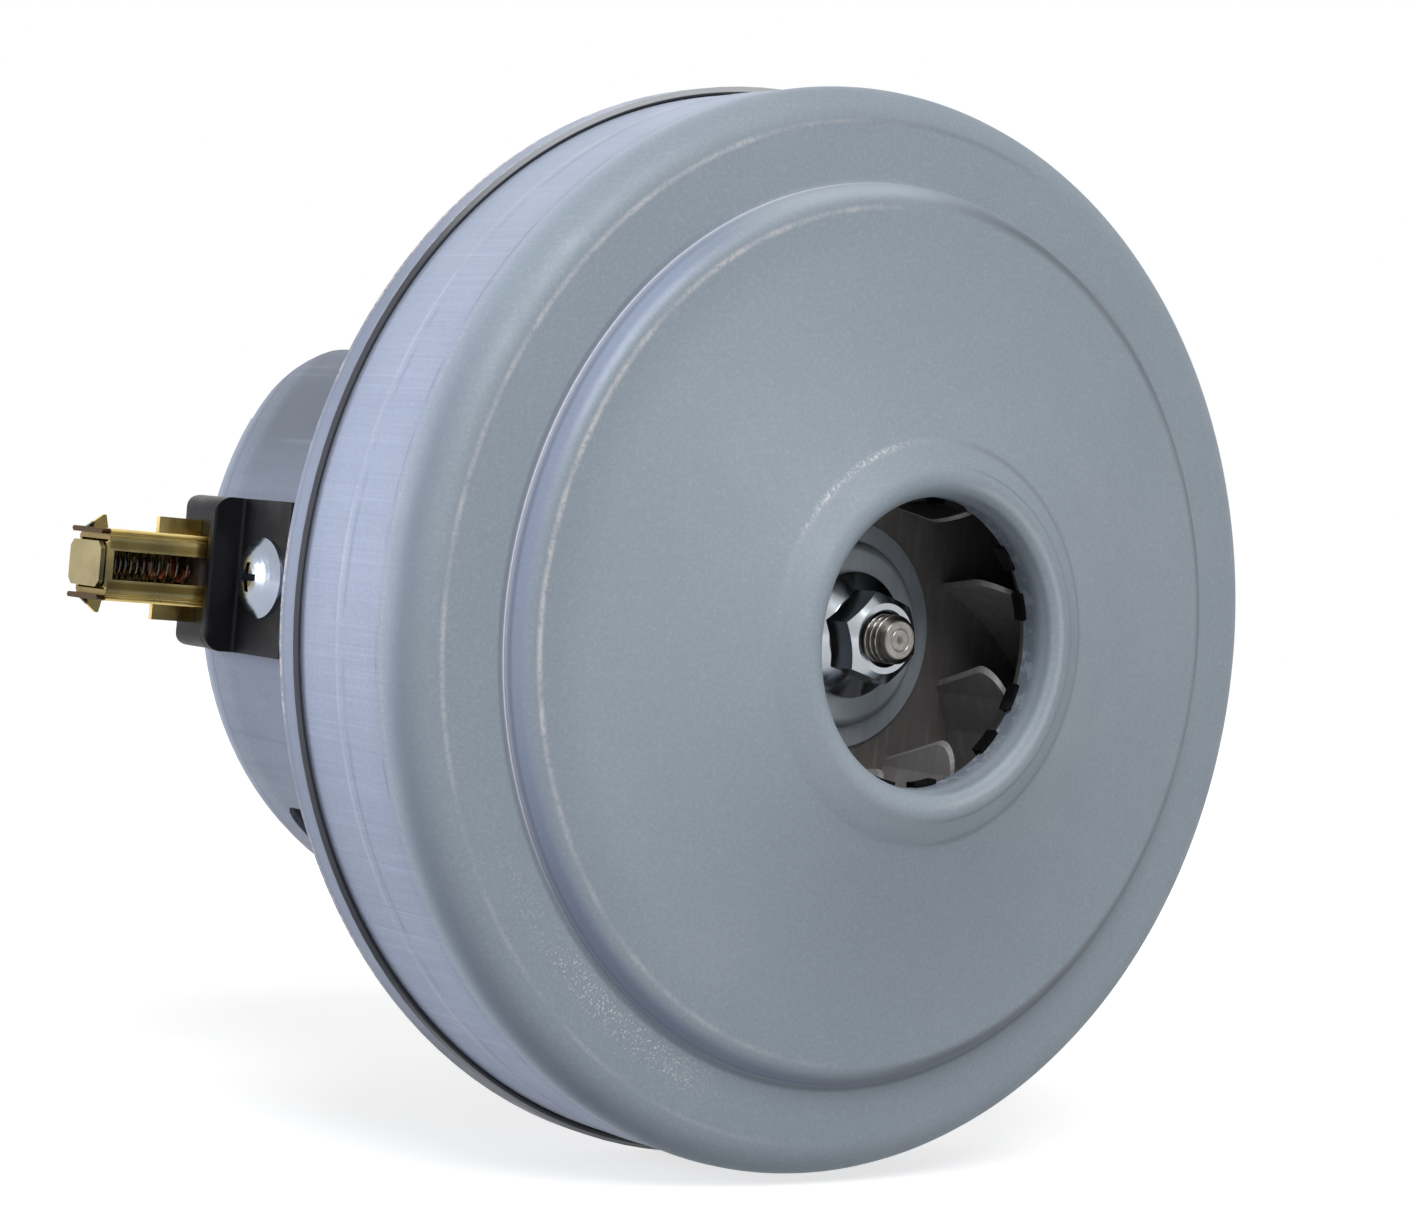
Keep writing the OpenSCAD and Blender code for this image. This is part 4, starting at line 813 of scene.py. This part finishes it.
# Armature winding: wires that cross from slot to slot round the shaft

ARMATURE_SLOTS, SLOT_R, SLOT_SPAN = 12, 14.2, 5
HEAD_IN, HEAD_OUT, HEAD_DEPTH, WIRE_R = 6.2, 17.3, 1.9, 0.42
HEAD_FRONT_Y, HEAD_BACK_Y = 14.1, 41.9
LANES, LANE_SHIFT, LANE_STEP = 5, 0.09, 0.75
WIRE_START_R, WIRE_DIP, WIRE_DIP_STEP = 15.9, 6.2, 0.5
WIRE_LIFT, WIRE_RISE, WIRE_RISE_STEP = 0.9, 0.95, 0.28
BUNDLE_R, BUNDLE_WIRE_R, BUNDLE_REACH = 1.55, 0.78, 0.5


def crossing_wire(slot, lane, face, outward):
    """One wire from a slot to its partner, bowed round the shaft."""
    t = np.linspace(0, 1, 22)
    bow = np.sin(math.pi * t)
    angle = TURN * (slot + (lane - LANES // 2) * LANE_SHIFT + SLOT_SPAN * t) / ARMATURE_SLOTS
    radius = WIRE_START_R - LANE_STEP * lane - (WIRE_DIP - WIRE_DIP_STEP * lane) * bow
    rise = WIRE_RISE + WIRE_RISE_STEP * ((slot + lane) % LANES)
    y = face + outward * (WIRE_LIFT + rise * bow ** 0.6)
    return np.stack([radius * np.cos(angle), y, radius * np.sin(angle)], axis=1)


def winding_head(face, outward):
    """The solid ring of one head and the wires that cross on it."""
    end = face + outward * HEAD_DEPTH
    corners = [(HEAD_IN, face, 0), (HEAD_OUT, face, 0), (HEAD_OUT, end, 0.9), (HEAD_IN, end, 0)]
    parts = [turned_mesh(rounded_path(corners, 6), 72)]
    for slot in range(ARMATURE_SLOTS):
        for lane in range(LANES):
            parts.append(tube_mesh(crossing_wire(slot, lane, face, outward), WIRE_R, 6))
    return parts


def slot_bundle(slot, from_y, to_y):
    """Seven wires side by side down one slot."""
    angle = TURN * slot / ARMATURE_SLOTS
    centre = SLOT_R * np.array([math.cos(angle), math.sin(angle)])
    wires = []
    for k in range(7):
        turn = TURN * k / 6
        away = 0 if k == 6 else BUNDLE_R
        x, z = centre + away * np.array([math.cos(turn), math.sin(turn)])
        path = [(x, y, z) for y in (from_y, (from_y + to_y) / 2, to_y)]
        wires.append(tube_mesh(path, BUNDLE_WIRE_R, 8))
    return wires


def make_armature_winding(surface):
    parts = winding_head(HEAD_FRONT_Y, -1) + winding_head(HEAD_BACK_Y, 1)
    for slot in range(ARMATURE_SLOTS):
        parts += slot_bundle(slot, HEAD_FRONT_Y - BUNDLE_REACH, HEAD_BACK_Y + BUNDLE_REACH)
    piece = make_piece("wound_armature", *join_meshes(parts))
    finish_piece(piece, surface, "rotor", "enamelled_copper", "armature_winding")


# Materials of the smaller parts

def bright_zinc(name, colour, low, high):
    """Bright plated steel, its roughness between two limits."""
    s = Surface(name, colour, 1.0, (low + high) / 2)
    s.shade(s.noise(300, 3), 0.04)
    s.vary_roughness(s.noise(700, 3), low, high)
    s.bump(s.noise(900, 2), 0.012, 0.25)
    return s


SCREW_Y, SCREW_TOP = 39.0, 50.3


def holder_screw_zinc():
    """Bright zinc with painted shade in its cross recess."""
    s = bright_zinc("screw_zinc", srgb(158, 166, 180), 0.16, 0.28)
    x, y, z = s.axes()
    away = s.math("SUBTRACT", y, SCREW_Y)
    reach = s.math("SQRT", s.math("ADD", s.times(away, away), s.times(z, z)))
    sunk = s.remap(s.math("ABSOLUTE", x), SCREW_TOP - 0.3, SCREW_TOP - 0.6)
    # Painted shade in the cross recess
    s.vary_colour(s.times(sunk, s.remap(reach, 2.1, 1.9)), srgb(84, 88, 98))
    return s


def turned_steel(name, colour, low, high):
    """Steel with fine turning marks round the shaft."""
    s = RoundSurface(name, colour, 1.0, (low + high) / 2)
    marks = s.math("SINE", s.math("ADD", s.times(s.radius, 22.0), s.times(s.along, 19.0)))
    s.shade(s.noise(260, 3), 0.06)
    s.vary_roughness(s.noise(500, 3), low, high)
    s.bump(marks, 0.006, 0.35)
    return s


def shaft_steel():
    """Turned steel with painted shade in the thread's grooves and a painted highlight on its crests,
    pale on the face of the tip.
    """
    s = turned_steel("shaft_steel", srgb(122, 119, 116), 0.26, 0.42)
    thread = s.remap(s.along, THREAD_END + 0.5, THREAD_END)
    # Painted shade in the thread's grooves
    s.tint(srgb(44, 41, 39), 0.92, thread, s.remap(s.along, TIP_Y + 0.02, TIP_Y + 0.2))
    # Painted highlight on the thread's crests
    s.vary_colour(s.times(thread, s.remap(s.radius, 2.86, 2.98)), srgb(150, 146, 142))
    scuffs = s.remap(s.noise(900, 3), 0.4, 0.6, 0.3, 0.9)
    s.vary_colour(s.times(s.remap(s.along, TIP_Y + 0.03, TIP_Y), scuffs), srgb(150, 145, 141))
    return s


SHEET_T = 0.5


def laminated_steel():
    """Edges of stacked sheets, half a millimetre each, with a little rust-brown between them."""
    s = Surface("lamination_steel", srgb(104, 106, 109), 0.4, 0.62)
    along = s.axes()[1]
    stripes = s.math("SINE", s.times(along, TURN / SHEET_T))
    s.shade(s.noise(90, 4), 0.08)
    s.vary_colour(s.remap(stripes, -1.0, -0.5, 0.6, 0.0), srgb(66, 62, 60))
    s.vary_colour(s.remap(s.noise(45, 4), 0.58, 0.75, 0.0, 0.4), srgb(104, 84, 68))
    s.bump(stripes, 0.03, 0.5)
    return s


BOX_END_X = 65.3


def brass_strip():
    """Olive-brown pressed brass with dull patches; the brush boxes have painted shade on their rails,
    deeper on the lower rail, painted shade inside them and a pale cap.
    """
    s = Surface("brass_strip", srgb(222, 198, 126), 1.0, 0.32)
    x, y, z = s.axes()
    out = s.math("ABSOLUTE", x)
    high = s.math("ABSOLUTE", z)
    aside = s.math("ABSOLUTE", s.math("SUBTRACT", y, BRUSH_Y))
    s.vary_colour(s.remap(s.noise(170, 4), 0.45, 0.70, 0.0, 0.45), srgb(150, 126, 66))
    s.vary_colour(s.remap(s.noise(900, 3, (0.08, 1, 1)), 0.55, 0.75, 0.0, 0.35), srgb(236, 214, 144))
    s.tint(srgb(226, 182, 70), 0.6, s.band(out, 51.6, 1.6))
    box = s.times(s.remap(out, 46.0, 47.0), s.remap(out, BOX_END_X + 0.3, BOX_END_X))
    rails = s.times(box, s.remap(high, 3.3, 2.9), s.remap(high, 1.9, 2.3))
    # Painted shade on the rails, deeper on the lower rail
    s.tint(srgb(150, 118, 56), s.remap(z, 1.0, -1.0, 0.65, 0.85), rails)
    # Painted shade inside the brush boxes
    shaded_inside = s.times(box, s.remap(high, 3.06, 2.96), s.remap(aside, 3.62, 3.52))
    s.tint(srgb(44, 30, 16), 0.9, shaded_inside)
    flaps = s.times(s.remap(out, BOX_END_X, BOX_END_X + 0.3), s.remap(high, 2.95, 3.05))
    s.vary_colour(flaps, srgb(70, 50, 22))
    s.tint(srgb(136, 125, 93), 0.9, s.remap(out, 66.0, 66.2), s.remap(high, 2.95, 2.85))
    s.vary_roughness(s.noise(240, 3), 0.24, 0.42)
    s.bump(s.noise(1300, 2, (0.1, 1, 1)), 0.008, 0.4)
    return s


def copper_strand():
    """Bare copper, bright beside the brush and darkened towards the cap by painted shade within the
    spring.
    """
    s = wire_metal("copper_strand", srgb(220, 146, 118), srgb(150, 86, 60), 1.0, 0.32)
    out = s.math("ABSOLUTE", s.axes()[0])
    # Painted shade on the strand inside the spring towards the cap
    s.vary_colour(s.remap(out, 55.5, 58.5, 0.0, 0.92), srgb(46, 30, 24))
    return s


def wire_metal(name, colour, dark, metallic, roughness):
    """Wire with dark patches and a slightly uneven gloss."""
    s = Surface(name, colour, metallic, roughness)
    s.vary_colour(s.remap(s.noise(400, 4), 0.4, 0.7, 0.0, 0.6), dark)
    s.vary_roughness(s.noise(800, 3), roughness - 0.06, roughness + 0.10)
    s.bump(s.noise(2200, 2), 0.01, 0.4)
    return s


def commutator_copper():
    """Copper bars with the darker track that the brushes polish."""
    s = RoundSurface("commutator_copper", srgb(196, 128, 96), 1.0, 0.28)
    s.tint(srgb(96, 64, 52), 0.7, s.hoop(BRUSH_Y, 4.2), s.remap(s.radius, 11.0, 11.4))
    s.shade(s.noise(600, 3, (1, 0.2, 1)), 0.08)
    s.bump(s.math("SINE", s.times(s.along, 26.0)), 0.006, 0.4)
    return s


def moulded(name, colour, roughness, share, peel, **sockets):
    """Moulded plastic with a faint skin texture."""
    s = Surface(name, colour, 0.0, roughness, **sockets)
    s.shade(s.noise(120, 4), share)
    s.vary_roughness(s.noise(300, 3), roughness - 0.05, roughness + 0.08)
    s.bump(s.noise(peel, 2), 0.012, 0.4)
    return s


def dull_sheet(name, colour, metallic, roughness):
    """Dull sheet with faint rolling marks and dust."""
    s = Surface(name, colour, metallic, roughness)
    s.shade(s.noise(60, 4), 0.05)
    s.shade(s.noise(900, 2, (1, 1, 0.1)), 0.05)
    s.vary_roughness(s.noise(200, 3), roughness - 0.06, roughness + 0.08)
    s.bump(s.noise(1500, 2), 0.01, 0.4)
    return s


def dress_nodes():
    """Gives every CAD node that stays in view its material."""
    zinc = bright_zinc("bright_zinc", srgb(168, 173, 178), 0.12, 0.22)
    steel = turned_steel("pressed_steel", srgb(160, 162, 166), 0.28, 0.42)
    ground = turned_steel("bearing_steel", srgb(190, 192, 195), 0.10, 0.22)
    brass = brass_strip()
    iron = laminated_steel()
    resin = moulded("brown_resin", srgb(88, 48, 26), 0.45, 0.08, 500)
    fan = dull_sheet("fan_aluminium", srgb(112, 109, 107), 0.45, 0.45)
    black = moulded("black_thermoset", srgb(22, 22, 25), 0.40, 0.02, 700, **{"Specular IOR Level": 0.14})
    rubber = moulded("black_seal", srgb(6, 6, 7), 0.5, 0.02, 900, **{"Specular IOR Level": 0.10})
    carbon = moulded("brush_carbon", srgb(58, 46, 44), 0.55, 0.10, 1500)
    dress(casing_metal(), "motor_casing")
    dress(rubber, "inlet_seal_ring")
    dress(moulded("diffuser_plastic", srgb(44, 42, 41), 0.5, 0.06, 700), "diffuser")
    dress(zinc, "diffuser_screws", "bracket_screws", "flange_nut")
    dress(holder_screw_zinc(), "brush_holder_screws")
    dress(steel, "bearing_bracket", "fan_spacer", "fan_rear_washer")
    for end in ("front", "rear"):
        dress(ground, *(f"{end}_bearing_{part}" for part in ("outer_ring", "inner_ring", "balls")))
        dress(brass, f"{end}_bearing_cage")
    dress(wire_metal("washer_spring", srgb(96, 96, 100), srgb(60, 58, 58), 1.0, 0.3), "rear_wave_washer")
    dress(iron, "stator_core", "armature_core")
    dress(moulded("bobbin_cream", srgb(214, 202, 170), 0.45, 0.05, 600), "coil_bobbins")
    dress(resin, "armature_end_plates", "commutator_hub")
    dress(commutator_copper(), "commutator_bars")
    dress(fan, "fan_back_plate", "fan_front_plate")
    dress(dull_sheet("blade_aluminium", srgb(128, 125, 124), 0.15, 0.60), "fan_blades")
    dress(dull_sheet("washer_zinc", srgb(150, 158, 166), 0.30, 0.42), "fan_front_washer")
    for name in ("left", "right"):
        dress(black, f"brush_holder_{name}")
        dress(brass, f"brush_box_{name}")
        dress(carbon, f"carbon_brush_{name}")


make_camera()
make_world()
make_floor()
for lamp_settings in LAMPS:
    make_lamp(*lamp_settings)
dress_nodes()
make_cover()
make_shaft(shaft_steel())
make_brush_wires(wire_metal("spring_wire", srgb(92, 88, 84), srgb(48, 44, 42), 1.0, 0.28),
                 copper_strand())
enamel = wire_metal("enamelled_copper", srgb(164, 84, 44), srgb(110, 50, 26), 0.6, 0.26)
make_field_coils(enamel)
make_armature_winding(enamel)

bpy.context.scene.view_settings.view_transform = "Standard"
